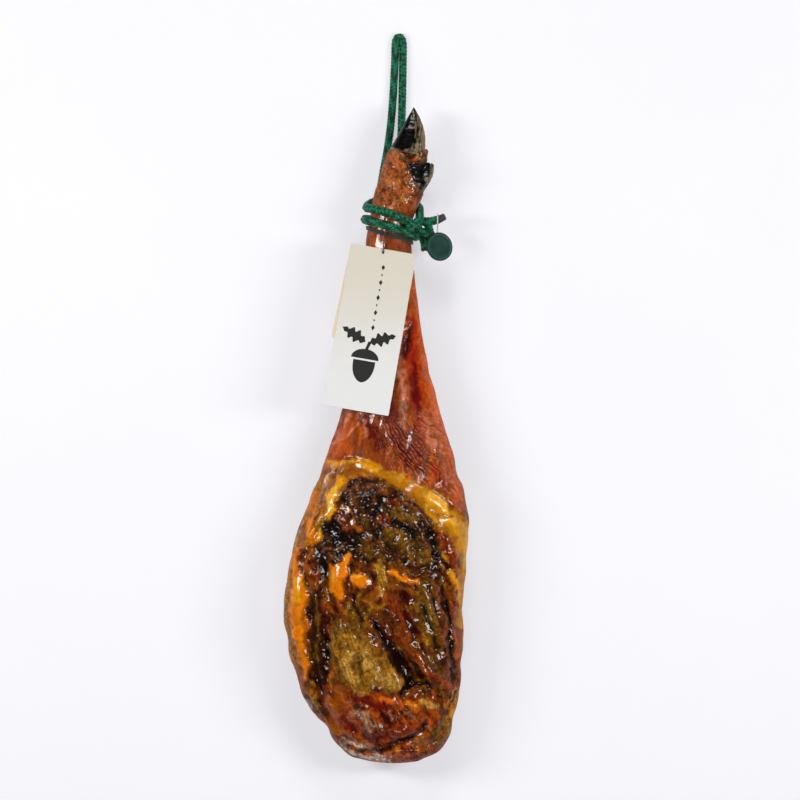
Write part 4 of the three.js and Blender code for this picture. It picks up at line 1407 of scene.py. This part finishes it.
def ham():
    form, normal, on_face = leg_form()
    paint, marked = paint_and_relief(form)
    small, groove, fan = fine_relief(form, normal, on_face, paint[..., 3])
    y = form[..., 1]
    full = (1 - on_face) * SIDE_FULLNESS * (1 - step(-20, 20, y))
    left_side = (form[..., 0] < 0) * (1 - on_face)
    for place, half_length, rise in LEFT_BULGES:
        full += left_side * rise * np.exp(-(((y - place) / half_length) ** 2))
    lift = step(0, 6, form[..., 2]) * (small + on_face * marked + full)
    form = form + normal * lift[..., None]
    form[..., 2] = np.maximum(form[..., 2], 0)
    # Painted shade darkens the hollows and the fan's grooves, and a painted highlight makes the ridges paler.
    hollow = on_face * (blurred(lift, 3) - lift)
    deep = on_face * (blurred(lift, 9) - lift)
    shade = np.exp(-0.55 * np.clip(hollow, -0.5, 2.5) - 0.3 * np.clip(deep, -0.6, 3)) * (1 - 0.35 * groove)
    side = paint.copy()
    side[..., :3] = linear(TONES["edge_brown"]) * (1 + 0.35 * lumps(form, 14, 3, 2.0))[..., None]
    side[..., 3] = 0.3
    hidden = 0.9 * step(0.3, -0.2, normal[..., 2] + 0.22 * lumps(form, 15, 3, 6.6))[..., None]
    paint = paint + hidden * (side - paint)
    paint[..., :3] *= shade[..., None]
    rings, around = form.shape[:2]
    points = form.reshape(-1, 3)
    faces = grid_faces(rings, around, closed_ends=False)
    tints = paint.reshape(-1, 4)
    # The cut end is closed with smaller and smaller rings, and the end inside the hoof with a flat face.
    centre = form[0].mean(axis=0)
    shrink = [0.86, 0.7, 0.52, 0.34, 0.16]
    first = len(points)
    caps = [centre + (form[0] - centre) * s - [0, 2.5 * (1 - s * s), 0] for s in shrink]
    points = np.concatenate([points, *caps, [centre - [0, 2.6, 0]]])
    tints = np.concatenate([tints] + [paint[0]] * len(shrink) + [paint[0].mean(axis=0)[None]])
    rows = [np.arange(around)] + [first + k * around + np.arange(around) for k in range(len(shrink))]
    for outer, inner in zip(rows, rows[1:]):
        for j in range(around):
            k = (j + 1) % around
            faces.append([inner[j], inner[k], outer[k], outer[j]])
    pole = len(points) - 1
    faces += [[pole, rows[-1][(j + 1) % around], rows[-1][j]] for j in range(around)]
    last = (rings - 1) * around
    faces.append([last + j for j in range(around)])
    obj = mesh_object("ham_meat", points, [[int(v) for v in face] for face in faces])
    layer = obj.data.attributes.new("paint", "FLOAT_COLOR", "POINT")
    layer.data.foreach_set("color", np.maximum(tints, 0).ravel())
    grooves = np.zeros((len(points), 3), np.float32)
    grooves[:, 2] = 0.6
    grooves[: rings * around] = fan.reshape(-1, 3)
    layer = obj.data.attributes.new("fan", "FLOAT_VECTOR", "POINT")
    layer.data.foreach_set("vector", grooves.ravel())
    obj.data.materials.append(ham_material())
    carries(obj, "cured_meat", "ham")


ham()

# Claws and dewclaws

CLAWS = {
    "hoof_claw_near": dict(base=(31, 301, 54), tip=(40.5, 350, 51), wide=(17, 21), thick=10.2, blunt=0.02),
    "hoof_claw_far": dict(base=(31, 301, 33), tip=(39.5, 349, 38), wide=(17, 21), thick=10.2, blunt=0.02),
    "dewclaw_near": dict(base=(42, 266, 58), tip=(57.2, 290, 61), wide=(10, 10), thick=8, blunt=0.42),
    "dewclaw_far": dict(base=(43, 265, 35), tip=(61, 289.5, 33), wide=(10, 10), thick=8, blunt=0.42),
}
SOLE_FULLNESS = 2.3
CLAW_RINGS = 90
CLAW_SIDES = 72


def claw(name, worn_share):
    """A horn claw. Worn_share says how tan it is, from its points and their place along it."""
    shape = CLAWS[name]
    base, tip = Vector(shape["base"]), Vector(shape["tip"])
    along = (tip - base).normalized()
    across = (Vector((1, 0, 0)) - along * along.x).normalized()
    up = across.cross(along).normalized()
    t = np.linspace(0, 1, CLAW_RINGS + 1)[:, None]
    angle = -2 * pi * np.arange(CLAW_SIDES)[None, :] / CLAW_SIDES
    blunt = shape["blunt"]
    rounding = np.sqrt(np.maximum(1 - 0.9 * np.clip((t - 0.6) / 0.4, 0, 1) ** 2.4, 0)) if blunt > 0.1 else 1
    narrow = (blunt + (1 - blunt) * (1 - t)) * rounding
    full = (blunt + (1 - blunt) * (1 - t**SOLE_FULLNESS)) * rounding
    width = np.where(np.cos(angle) < 0, shape["wide"][0] * narrow, shape["wide"][1] * full)
    sideways = width * np.cos(angle)
    upward = shape["thick"] * (0.35 * narrow + 0.65 * full) * np.sin(angle)
    middle = np.array(base) + t[..., None] * np.array(tip - base)
    form = middle + sideways[..., None] * np.array(across) + upward[..., None] * np.array(up)
    normal = normals_of(form)
    if normal[10, CLAW_SIDES * 3 // 4] @ np.array(up) < 0:
        normal = -normal
    ridges = 0.03 * np.sin(60 * t + 2.5 * lumps(form, 16, 2)) * (1 - t) ** 0.5
    splits = -0.1 * np.exp(-((np.sin(7 * angle + 1.5 * lumps(form, 20, 2, 4.0)) / 0.12) ** 2)) * (1 - t)
    form = form + normal * (ridges + splits + 0.3 * lumps(form, 5, 3, 2.0) - 0.2)[..., None]
    worn = worn_share(form, np.broadcast_to(t, form.shape[:2])) + 0.35 * lumps(form, 4, 3, 6.0)
    faces = grid_faces(CLAW_RINGS + 1, CLAW_SIDES)
    obj = mesh_object(name + "_horn", form.reshape(-1, 3), faces)
    for label, values in (("worn", worn), ("growth", np.broadcast_to(t, worn.shape))):
        layer = obj.data.attributes.new(label, "FLOAT", "POINT")
        layer.data.foreach_set("value", np.ascontiguousarray(values, dtype=np.float32).ravel())
    obj.data.materials.append(HORN)
    carries(obj, "horn", name)


def horn_material():
    material, board, shader = finish(
        "black_horn",
        Specular_IOR_Level=0.06,
        Coat_Weight=0.4,
        Coat_Roughness=0.1,
    )
    at = object_mm(board)
    worn = board.add("ShaderNodeAttribute", attribute_name="worn").outputs["Fac"]
    growth = board.add("ShaderNodeAttribute", attribute_name="growth").outputs["Fac"]
    lines = fibre_lines(board, 11, 1.1, 16.0)
    blotch = noise(board, at, 5.0, 4.0, 0.65)
    tear = board.math("SUBTRACT", blotch, 0.5)
    mask = board.range(board.math("MULTIPLY_ADD", tear, 0.9, worn), 0.25, 0.85)
    dark = board.mix(board.range(lines, 0.55, 0.8), colour(7, 6, 5), colour(52, 45, 36))
    tan = board.mix(board.range(lines, 0.3, 0.7), colour(72, 62, 46), colour(150, 132, 102))
    board.feed(shader["Base Color"], board.mix(mask, dark, tan))
    rough = board.range(blotch, 0.3, 0.7, 0.2, 0.4)
    board.feed(shader["Roughness"], board.math("MULTIPLY_ADD", mask, 0.25, rough))
    wander = board.math("MULTIPLY", blotch, 6.0)
    rings = board.math("SINE", board.math("MULTIPLY_ADD", growth, 130.0, wander))
    height = board.math("MULTIPLY_ADD", rings, 0.02, board.math("MULTIPLY_ADD", lines, 0.4, blotch))
    bump(board, shader, height, 0.4, 0.4)
    return material


HORN = horn_material()


def near_claw_wear(form, t):
    """The claw is black with a tan right side and a pale rim where it meets the skin."""
    edge = 39 + 4 * np.sin((form[..., 1] - 305) / 14)
    ridge = 0.7 * np.exp(-(((form[..., 0] - edge + 0.5) / 1.1) ** 2))
    right = 0.78 * step(-1.5, 5, form[..., 0] - edge)
    return np.maximum.reduce([ridge, right, 0.6 * (1 - step(0.0, 0.14, t))])


def dewclaw_wear(form, t):
    spot = 1 - step(1.5, 4, np.hypot(form[..., 0] - 54, form[..., 1] - 272))
    return np.maximum.reduce([spot, 0.5 * (1 - step(0.1, 0.2, t)), 0.4 * step(0.93, 1, t)])


claw("hoof_claw_near", near_claw_wear)
claw("hoof_claw_far", lambda form, t: 0.15 + 0.6 * (1 - step(0, 0.15, t)))
claw("dewclaw_near", dewclaw_wear)
claw("dewclaw_far", lambda form, t: 0.45 + 0.4 * t)

# The dark melted end of the rope's tail

TAIL_TAPE = [(68, 229.9, 55.3), (71, 231, 55.6), (74.4, 232.3, 56)]


def rope_end():
    """The end tapers a little, is rounded off and has a lumpy surface."""
    sides = 40
    path = smooth_path(TAIL_TAPE, 0.25)
    t = np.linspace(0, 1, len(path))
    taper = 1 - 0.12 * t + 0.04 * np.sin(11 * t)
    rounding = np.minimum(1, 0.55 + 3 * (1 - t)) ** 0.5
    form, faces = sweep(path, ROPE_RADIUS * taper * rounding, sides)
    middle = np.repeat(path, sides, axis=0)
    form = middle + (form - middle) * (1 + 0.09 * lumps(form, 2.4, 2, 3.0))[:, None]
    obj = mesh_object("rope_end_melted", form, faces)
    obj.data.materials.append(melted_material())
    carries(obj, "tape", "rope_end_tape")


def melted_material():
    material, board, shader = finish("melted_cord", Coat_Weight=0.3, Coat_Roughness=0.2)
    at = object_mm(board)
    drops = noise(board, at, 1.6, 4.0, 0.6)
    tone = board.mix(board.range(drops, 0.4, 0.7), colour(22, 16, 22), colour(74, 58, 70))
    board.feed(shader["Base Color"], tone)
    board.feed(shader["Roughness"], board.range(drops, 0.3, 0.7, 0.3, 0.6))
    bump(board, shader, drops, 0.8, 0.8)
    return material


rope_end()

# The thin band under the rope

BAND_WIDTH = 4.4
BAND_THICK = 1.4
BAND_CORNER = 0.5
BAND_TURN = [
    (0, 204.5),
    (30, 206.5),
    (60, 209.5),
    (90, 212.5),
    (120, 216),
    (150, 219),
    (180, 220.6),
    (210, 220),
    (240, 217),
    (270, 213),
    (300, 209),
    (330, 206),
    (360, 204.5),
]


def neck_band():
    stations = [dict(y=degrees, level=level) for degrees, level in BAND_TURN]
    rings = []
    for degrees in np.arange(0, 360, 2):
        y = float(through(stations, "level", degrees))
        inner, outer = (np.array(on_leg(y, degrees, h)) for h in (0, BAND_THICK))
        outward = (outer - inner) / BAND_THICK
        ring = []
        for side, level, turn in ((-1, 0, 180), (-1, 1, 90), (1, 1, 0), (1, 0, -90)):
            for a in (0, 30, 60, 90):
                angle = radians(turn + 90 - a)
                height = BAND_THICK - BAND_CORNER if level else BAND_CORNER
                height += BAND_CORNER * sin(angle)
                along = side * (BAND_WIDTH / 2 - BAND_CORNER) + BAND_CORNER * cos(angle)
                ring.append(inner + outward * height + np.array([0, along, 0]))
        rings.append(ring)
    faces = closed_faces(len(rings), len(rings[0]))
    obj = mesh_object("neck_band_flat", np.concatenate(rings), faces)
    obj.data.materials.append(band_material())
    carries(obj, "band", "neck_band")


def band_material():
    material, board, shader = finish("dark_band", Sheen_Weight=0.2)
    at = object_mm(board)
    inputs = {"Vector": at, "Scale": 0.22, "Distortion": 1.0}
    weave = board.add("ShaderNodeTexWave", inputs, bands_direction="Y").outputs["Fac"]
    grit = noise(board, at, 1.1, 3.0)
    light = board.math("MULTIPLY", grit, weave)
    board.feed(shader["Base Color"], board.mix(light, colour(12, 16, 14), colour(52, 66, 58)))
    board.feed(shader["Roughness"], board.range(grit, 0.3, 0.7, 0.45, 0.7))
    bump(board, shader, board.math("ADD", weave, grit), 0.4, 0.6)
    return material


neck_band()

# The string that holds the cards

STRING = [
    (9.6, 216.2, 72.6),
    (9.2, 213, 72.8),
    (8.5, 206, 72.6),
    (7.9, 199.5, 75.6),
    (7.5, 194.6, 77.2),
    (7.6, 193.5, 75.8),
    (7.7, 193.6, 73.6),
    (8.4, 195.8, 71.6),
    (10, 200, 71.2),
    (12.4, 205.5, 71.6),
    (14.6, 210, 72.6),
    (15.6, 214.2, 72.6),
]


def string_material():
    material, board, shader = finish("dark_string", Roughness=0.7, Sheen_Weight=0.3)
    tone = board.add("ShaderNodeAttribute", attribute_name="tone").outputs["Fac"]
    fluff = noise(board, object_mm(board), 0.5, 2.0)
    # The tone carries the strands' painted light and shade where they pass over and under each other.
    light = board.range(board.math("MULTIPLY_ADD", tone, 0.4, fluff), 0.4, 1.0)
    board.feed(shader["Base Color"], board.mix(light, colour(14, 13, 12), colour(58, 54, 48)))
    bump(board, shader, fluff, 0.2, 0.6)
    return material


TWIST = dict(Count=3, Hand=1.0, Pitch=0.004, Radius=0.00036, Wave=0.0, Step=0.0003, Seed=SEED)
THREAD = dict(Strand_width=0.00036, Strand_thickness=0.00034)


def tag_string():
    path = smooth_path(STRING, 0.4)
    obj = laid_strands("tag_string_twisted", path, string_material(), **TWIST, **THREAD)
    carries(obj, "string", "tag_string")


tag_string()

# The two cards, each with a punched hole that the string goes through

CARD = dict(width=71, length=176, thick=0.6, hole_from_top=3.9, hole=1.5, corner=0.6)
BACK_CARD = dict(width=70, length=105, thick=0.6, hole_from_top=3, hole=1.5, corner=5)
CARD_HOLE = Vector((7.6, 193.5, 75))
CARD_TURN = -9.8
BACK_CARD_TURN = -12.3
CARD_PITCH = -5.8
CARD_SPACING = 1.1
CARD_BOW = 0.5  # how far the card's lower corners curl


def card_place(turn, drop=0.0):
    """Where a card lies: turned seen from above, and pitched up towards the thick end of the leg."""
    turned = Euler((radians(CARD_PITCH), 0, radians(turn)), "YXZ").to_matrix()
    return lambda points: np.asarray(points) @ np.array(turned).T + np.array(CARD_HOLE - Vector((0, 0, drop)))


def card_surface(x, y, card):
    """The card is a little bowed across its lower half."""
    down = np.clip(-y / card["length"], 0, 1)
    return CARD_BOW * down**2 * (np.asarray(x) / card["width"] * 2) ** 2


def card_mesh(name, card, place):
    half, top = card["width"] / 2, card["hole_from_top"]
    bottom = top - card["length"]
    near = min(2.6, top - 0.2)
    inner = np.linspace(-near, near, 5)
    xs = np.concatenate([np.linspace(-half, -near, 14)[:-1], inner, np.linspace(near, half, 14)[1:]])
    ys = np.concatenate([np.linspace(bottom, -near, 50)[:-1], inner, [top]])
    points, index = [], {}

    def point(x, y):
        key = (round(float(x), 4), round(float(y), 4))
        if key not in index:
            index[key] = len(points)
            points.append((float(x), float(y)))
        return index[key]

    faces = []
    for x0, x1 in zip(xs, xs[1:]):
        for y0, y1 in zip(ys, ys[1:]):
            if max(abs(x0), abs(x1)) <= near + 1e-6 and max(abs(y0), abs(y1)) <= near + 1e-6:
                continue
            faces.append([point(x0, y0), point(x1, y0), point(x1, y1), point(x0, y1)])
    border = [(x, -near) for x in inner[:-1]] + [(near, y) for y in inner[:-1]]
    border += [(x, near) for x in inner[:0:-1]] + [(-near, y) for y in inner[:0:-1]]
    ring = [point(x, y) for x, y in border]
    hole = []
    for x, y in border:
        out = card["hole"] / np.hypot(x, y)
        hole.append(point(x * out, y * out))
    for i in range(len(ring)):
        j = (i + 1) % len(ring)
        faces.append([ring[i], ring[j], hole[j], hole[i]])
    flat = np.array(points)
    # The corners are rounded off.
    r = card["corner"]
    for sx in (-1, 1):
        for cy, sy in ((bottom, 1), (top, -1)):
            beyond = np.c_[sx * flat[:, 0] - (half - r), sy * (cy + sy * r - flat[:, 1])]
            cut = (beyond > 0).all(axis=1)
            length = np.maximum(np.hypot(*beyond.T), 1e-9)
            reach = np.max(beyond, axis=1) / length
            flat[cut, 0] = sx * (half - r + (beyond[:, 0] * reach)[cut])
            flat[cut, 1] = cy + sy * r - sy * (beyond[:, 1] * reach)[cut]
    z = card_surface(flat[:, 0], flat[:, 1], card)
    lower = np.c_[flat, z]
    upper = np.c_[flat, z + card["thick"]]
    count = len(flat)
    all_faces = [[v + count for v in face] for face in faces] + [face[::-1] for face in faces]
    edges = {}
    for face in faces:
        for a, b in zip(face, face[1:] + face[:1]):
            edges[(a, b)] = True
    for a, b in edges:
        if (b, a) not in edges:
            all_faces.append([a, b, b + count, a + count])
    return mesh_object(name, place(np.concatenate([lower, upper])), all_faces, smooth=False)


def card_material(name, shaded_upper_tone, lower_tone):
    """Smooth uncoated card, painted darker and creamier towards the string as painted shade."""
    material, board, shader = finish(name, Roughness=0.62, Specular_IOR_Level=0.3)
    at = object_mm(board)
    height = board.add("ShaderNodeSeparateXYZ", {"Vector": at}).outputs[1]
    fibres = noise(board, at, 1.4, 4.0, 0.6)
    cloud = noise(board, at, 30.0, 2.0)
    # Painted shade: the card is painted darker and creamier towards its upper end.
    shade_fade = board.range(board.math("MULTIPLY_ADD", cloud, 30.0, height), 60, 200)
    base = board.mix(shade_fade, colour(*lower_tone), colour(*shaded_upper_tone))
    shade = board.range(fibres, 0.3, 0.7, 0.97, 1.02)
    board.feed(shader["Base Color"], board.vector("SCALE", base, shade))
    bump(board, shader, fibres, 0.08, 0.4)
    return material


def ink_material():
    material, board, shader = finish("black_ink", Specular_IOR_Level=0.4)
    fibres = noise(board, object_mm(board), 0.8, 3.0)
    board.feed(shader["Base Color"], board.mix(fibres, colour(20, 20, 19), colour(38, 37, 35)))
    board.feed(shader["Roughness"], board.range(fibres, 0.3, 0.7, 0.4, 0.55))
    return material


def dome(cx, cy, half, tall):
    return [(cx + half * cos(a), cy + tall * sin(a)) for a in np.linspace(0, pi, 41)]


def leaf(cx, cy, length, degrees, lobes=4):
    """An oak leaf: a long oval with rounded lobes on both sides."""
    outline = []
    for side in (1, -1):
        run = np.linspace(0, 1, 60)
        run = run if side > 0 else run[::-1]
        for t in run:
            half = length * 0.26 * sin(pi * t**0.85) * (0.72 + 0.28 * cos(2 * pi * lobes * t + pi))
            outline.append((t * length, side * half))
    a = radians(degrees)
    return [(cx + x * cos(a) - y * sin(a), cy + x * sin(a) + y * cos(a)) for x, y in outline]


def acorn(cx, cy, size):
    """A nut that comes to a point, its cup and its stalk, as three outlines."""
    nut = [
        (cx + size * 0.36 * s * (1 - t**2.6) ** 0.6, cy - size * 0.06 - size * 0.72 * t)
        for s, ts in ((1, np.linspace(0, 1, 24)), (-1, np.linspace(1, 0, 24)))
        for t in ts
    ]
    cup = dome(cx, cy, size * 0.45, size * 0.32)
    stalk = [(cx - size * 0.05, cy + size * 0.28), (cx + size * 0.05, cy + size * 0.28)]
    stalk += [(cx + size * 0.13, cy + size * 0.56), (cx + size * 0.03, cy + size * 0.58)]
    return [nut, cup, stalk]


def diamond(cx, cy, half):
    return [(cx - half * 0.62, cy), (cx, cy - half), (cx + half * 0.62, cy), (cx, cy + half)]


def card_print():
    """A plain ornament in black ink: a column of small diamonds over an acorn with two oak leaves."""
    shapes = []
    for k in range(9):
        y = -16 - 8.2 * k
        shapes.append(diamond(3, y, 3.1 if k % 2 == 0 else 1.5))
    shapes += acorn(0, -116, 33)
    shapes += [leaf(2, -98, 30, 24), leaf(-2, -98, 30, 156)]
    place = card_place(CARD_TURN)
    points, faces = [], []
    for shape in shapes:
        flat = np.array(shape)
        area = np.sum(flat[:, 0] * np.roll(flat[:, 1], -1) - np.roll(flat[:, 0], -1) * flat[:, 1])
        if area < 0:
            flat = flat[::-1]
        level = card_surface(flat[:, 0], flat[:, 1], CARD) + CARD["thick"]
        first, count = len(points), len(flat)
        points += np.c_[flat, level - 0.03].tolist() + np.c_[flat, level + 0.05].tolist()
        faces.append([first + count + i for i in range(count)])
        faces.append([first + i for i in reversed(range(count))])
        for i in range(count):
            j = (i + 1) % count
            faces.append([first + i, first + j, first + count + j, first + count + i])
    obj = mesh_object("card_print", place(points), faces, smooth=False)
    obj.data.materials.append(ink_material())
    carries(obj, "card")


front = card_mesh("card_front_paper", CARD, card_place(CARD_TURN))
front.data.materials.append(card_material("card_paper", (216, 209, 193), (228, 228, 227)))
carries(front, "card", "card_front")
back = card_mesh("card_back_paper", BACK_CARD, card_place(BACK_CARD_TURN, CARD_SPACING))
back.data.materials.append(card_material("card_cream", (226, 205, 172), (232, 214, 186)))
carries(back, "card", "card_back")
card_print()

# The round seal with its raised rim, and the clear tie that holds it to the rope

SEAL_PLACE = Vector((67, 200, 49.5))
SEAL_TILT = Euler((radians(-8), radians(28), 0), "YXZ").to_matrix()
SEAL_FACE = 3.1  # the height of the sunk upper face
# Radius and height.
SEAL_PROFILE = [
    (0, 0),
    (14.2, 0),
    (14.9, 0.25),
    (15.3, 0.8),
    (15.4, 1.4),
    (15.4, 2.6),
    (15.3, 3.3),
    (15, 3.8),
    (14.5, 4),
    (14.1, 3.95),
    (13.7, 3.6),
    (13.4, 3.2),
    (12.9, 3.1),
    (10.9, 3.1),
    (10.6, 3.16),
    (10.2, 3.16),
    (9.9, 3.1),
    (5, 3.12),
    (0.001, 3.14),
]


def seal():
    sides = 96
    angles = 2 * pi * np.arange(sides) / sides
    rings = [np.c_[r * np.cos(angles), r * np.sin(angles), np.full(sides, h)] for r, h in SEAL_PROFILE[1:-1]]
    points = np.concatenate([*rings, [[0, 0, 0], [0, 0, SEAL_PROFILE[-1][1]]]])
    faces = grid_faces(len(rings), sides, closed_ends=False)
    low, top, last = len(points) - 2, len(points) - 1, (len(rings) - 1) * sides
    faces += [[low, (j + 1) % sides, j] for j in range(sides)]
    faces += [[top, last + j, last + (j + 1) % sides] for j in range(sides)]
    obj = mesh_object("seal_disc", points @ np.array(SEAL_TILT).T + np.array(SEAL_PLACE), faces)
    obj.data.materials.append(seal_material())
    carries(obj, "seal_plastic", "seal")


def seal_material():
    material, board, shader = finish("green_seal", Specular_IOR_Level=0.25)
    at = object_mm(board)
    cloud = noise(board, at, 6.0, 4.0)
    grit = noise(board, at, 0.5, 2.0)
    green = board.mix(board.range(cloud, 0.3, 0.7), colour(12, 50, 42), colour(18, 60, 51))
    # A thin paler ring where the rim starts: a painted highlight.
    middle = SEAL_PLACE + SEAL_TILT @ Vector((0, 0, SEAL_FACE))
    out = board.vector("LENGTH", board.vector("SUBTRACT", at, tuple(middle)))
    ring = board.math("MULTIPLY", board.range(out, 12.7, 13.1), board.range(out, 13.7, 13.3))
    board.feed(shader["Base Color"], board.mix(ring, green, colour(62, 108, 94)))
    board.feed(shader["Roughness"], board.range(cloud, 0.3, 0.7, 0.38, 0.5))
    bump(board, shader, grit, 0.1, 0.4)
    return material


TIE = [
    (65.6, 211.5, 44.4),
    (65.8, 218, 45.4),
    (66, 225.4, 48.6),
    (66, 231, 49.6),
    (66, 234.8, 53),
    (66, 234.4, 58),
    (66, 229.6, 60.4),
    (66, 224.6, 58.4),
    (66, 222.6, 53.6),
    (65.8, 218, 47.6),
    (65.6, 211.5, 46.2),
]


TIE_RADIUS = 0.7


def seal_tie():
    path = smooth_path(TIE, 0.8, closed=True)[:-1]
    sides = 12
    tangent = np.roll(path, -1, axis=0) - np.roll(path, 1, axis=0)
    tangent /= np.linalg.norm(tangent, axis=1)[:, None]
    side = np.array([1.0, 0, 0]) - tangent * tangent[:, :1]
    side /= np.linalg.norm(side, axis=1)[:, None]
    other = np.cross(tangent, side)
    angles = 2 * pi * np.arange(sides) / sides
    rings = [
        p + TIE_RADIUS * (np.outer(np.cos(angles), a) + np.outer(np.sin(angles), b))
        for p, a, b in zip(path, side, other)
    ]
    obj = mesh_object("seal_tie_clear", np.concatenate(rings), closed_faces(len(path), sides))
    material, board, shader = finish("clear_plastic", Roughness=0.25, IOR=1.46, Transmission_Weight=0.4)
    haze = noise(board, object_mm(board), 3.0)
    board.feed(shader["Base Color"], board.mix(haze, colour(232, 235, 234), colour(250, 252, 251)))
    obj.data.materials.append(material)
    carries(obj, "clear_tie", "seal_tie")


seal()
seal_tie()

# Floor and light


def floor():
    """A pale sheet that glows a little, so that the leg's shadows stay faint."""
    far = 2600
    corners = [(-far, -far, 0), (far, -far, 0), (far, far, 0), (-far, far, 0)]
    sheet = mesh_object("floor", corners, [[0, 1, 2, 3]], smooth=False)
    material, board, shader = finish(
        "pale_floor",
        Roughness=0.9,
        Specular_IOR_Level=0.1,
        Emission_Strength=0.5,
    )
    cloud = noise(board, object_mm(board), 300)
    board.feed(shader["Base Color"], board.mix(cloud, colour(186, 186, 190), colour(190, 190, 193)))
    board.feed(shader["Emission Color"], board.mix(cloud, colour(246, 246, 252), colour(250, 250, 254)))
    sheet.data.materials.append(material)


def softbox(name, place, size, power):
    """A soft area light that faces the middle of the leg."""
    data = bpy.data.lights.new(name, "AREA")
    data.shape = "RECTANGLE"
    data.size, data.size_y = (v * MM for v in size)
    data.energy = power
    light = bpy.data.objects.new(name, data)
    light.location = [v * MM for v in place]
    target = Vector((10, -30, 40)) * MM
    light.rotation_euler = (target - light.location).to_track_quat("-Z", "Y").to_euler()
    bpy.context.collection.objects.link(light)


def studio():
    """Pale walls all round and a dark ceiling, so that wet surfaces mirror the lights and not a white sky."""
    world = bpy.data.worlds.new("studio")
    world.use_nodes = True
    board = Board(world.node_tree)
    direction = board.add("ShaderNodeTexCoord").outputs["Generated"]
    up = board.add("ShaderNodeSeparateXYZ", {"Vector": direction}).outputs[2]
    background = world.node_tree.nodes["Background"]
    tone = board.mix(board.range(up, 0.05, 0.45), colour(170, 170, 173), colour(12, 12, 13))
    board.feed(background.inputs["Color"], tone)
    background.inputs["Strength"].default_value = 1.0
    bpy.context.scene.world = world
    softbox("left_box", (-1250, 300, 1500), (300, 1000), 19.5)
    softbox("right_box", (1250, 100, 1500), (300, 1000), 16.7)
    softbox("far_box", (100, 1600, 1500), (800, 320), 11.6)
    softbox("near_box", (0, -1500, 1500), (600, 280), 6.5)
    bpy.context.scene.view_settings.view_transform = "Standard"


floor()
studio()
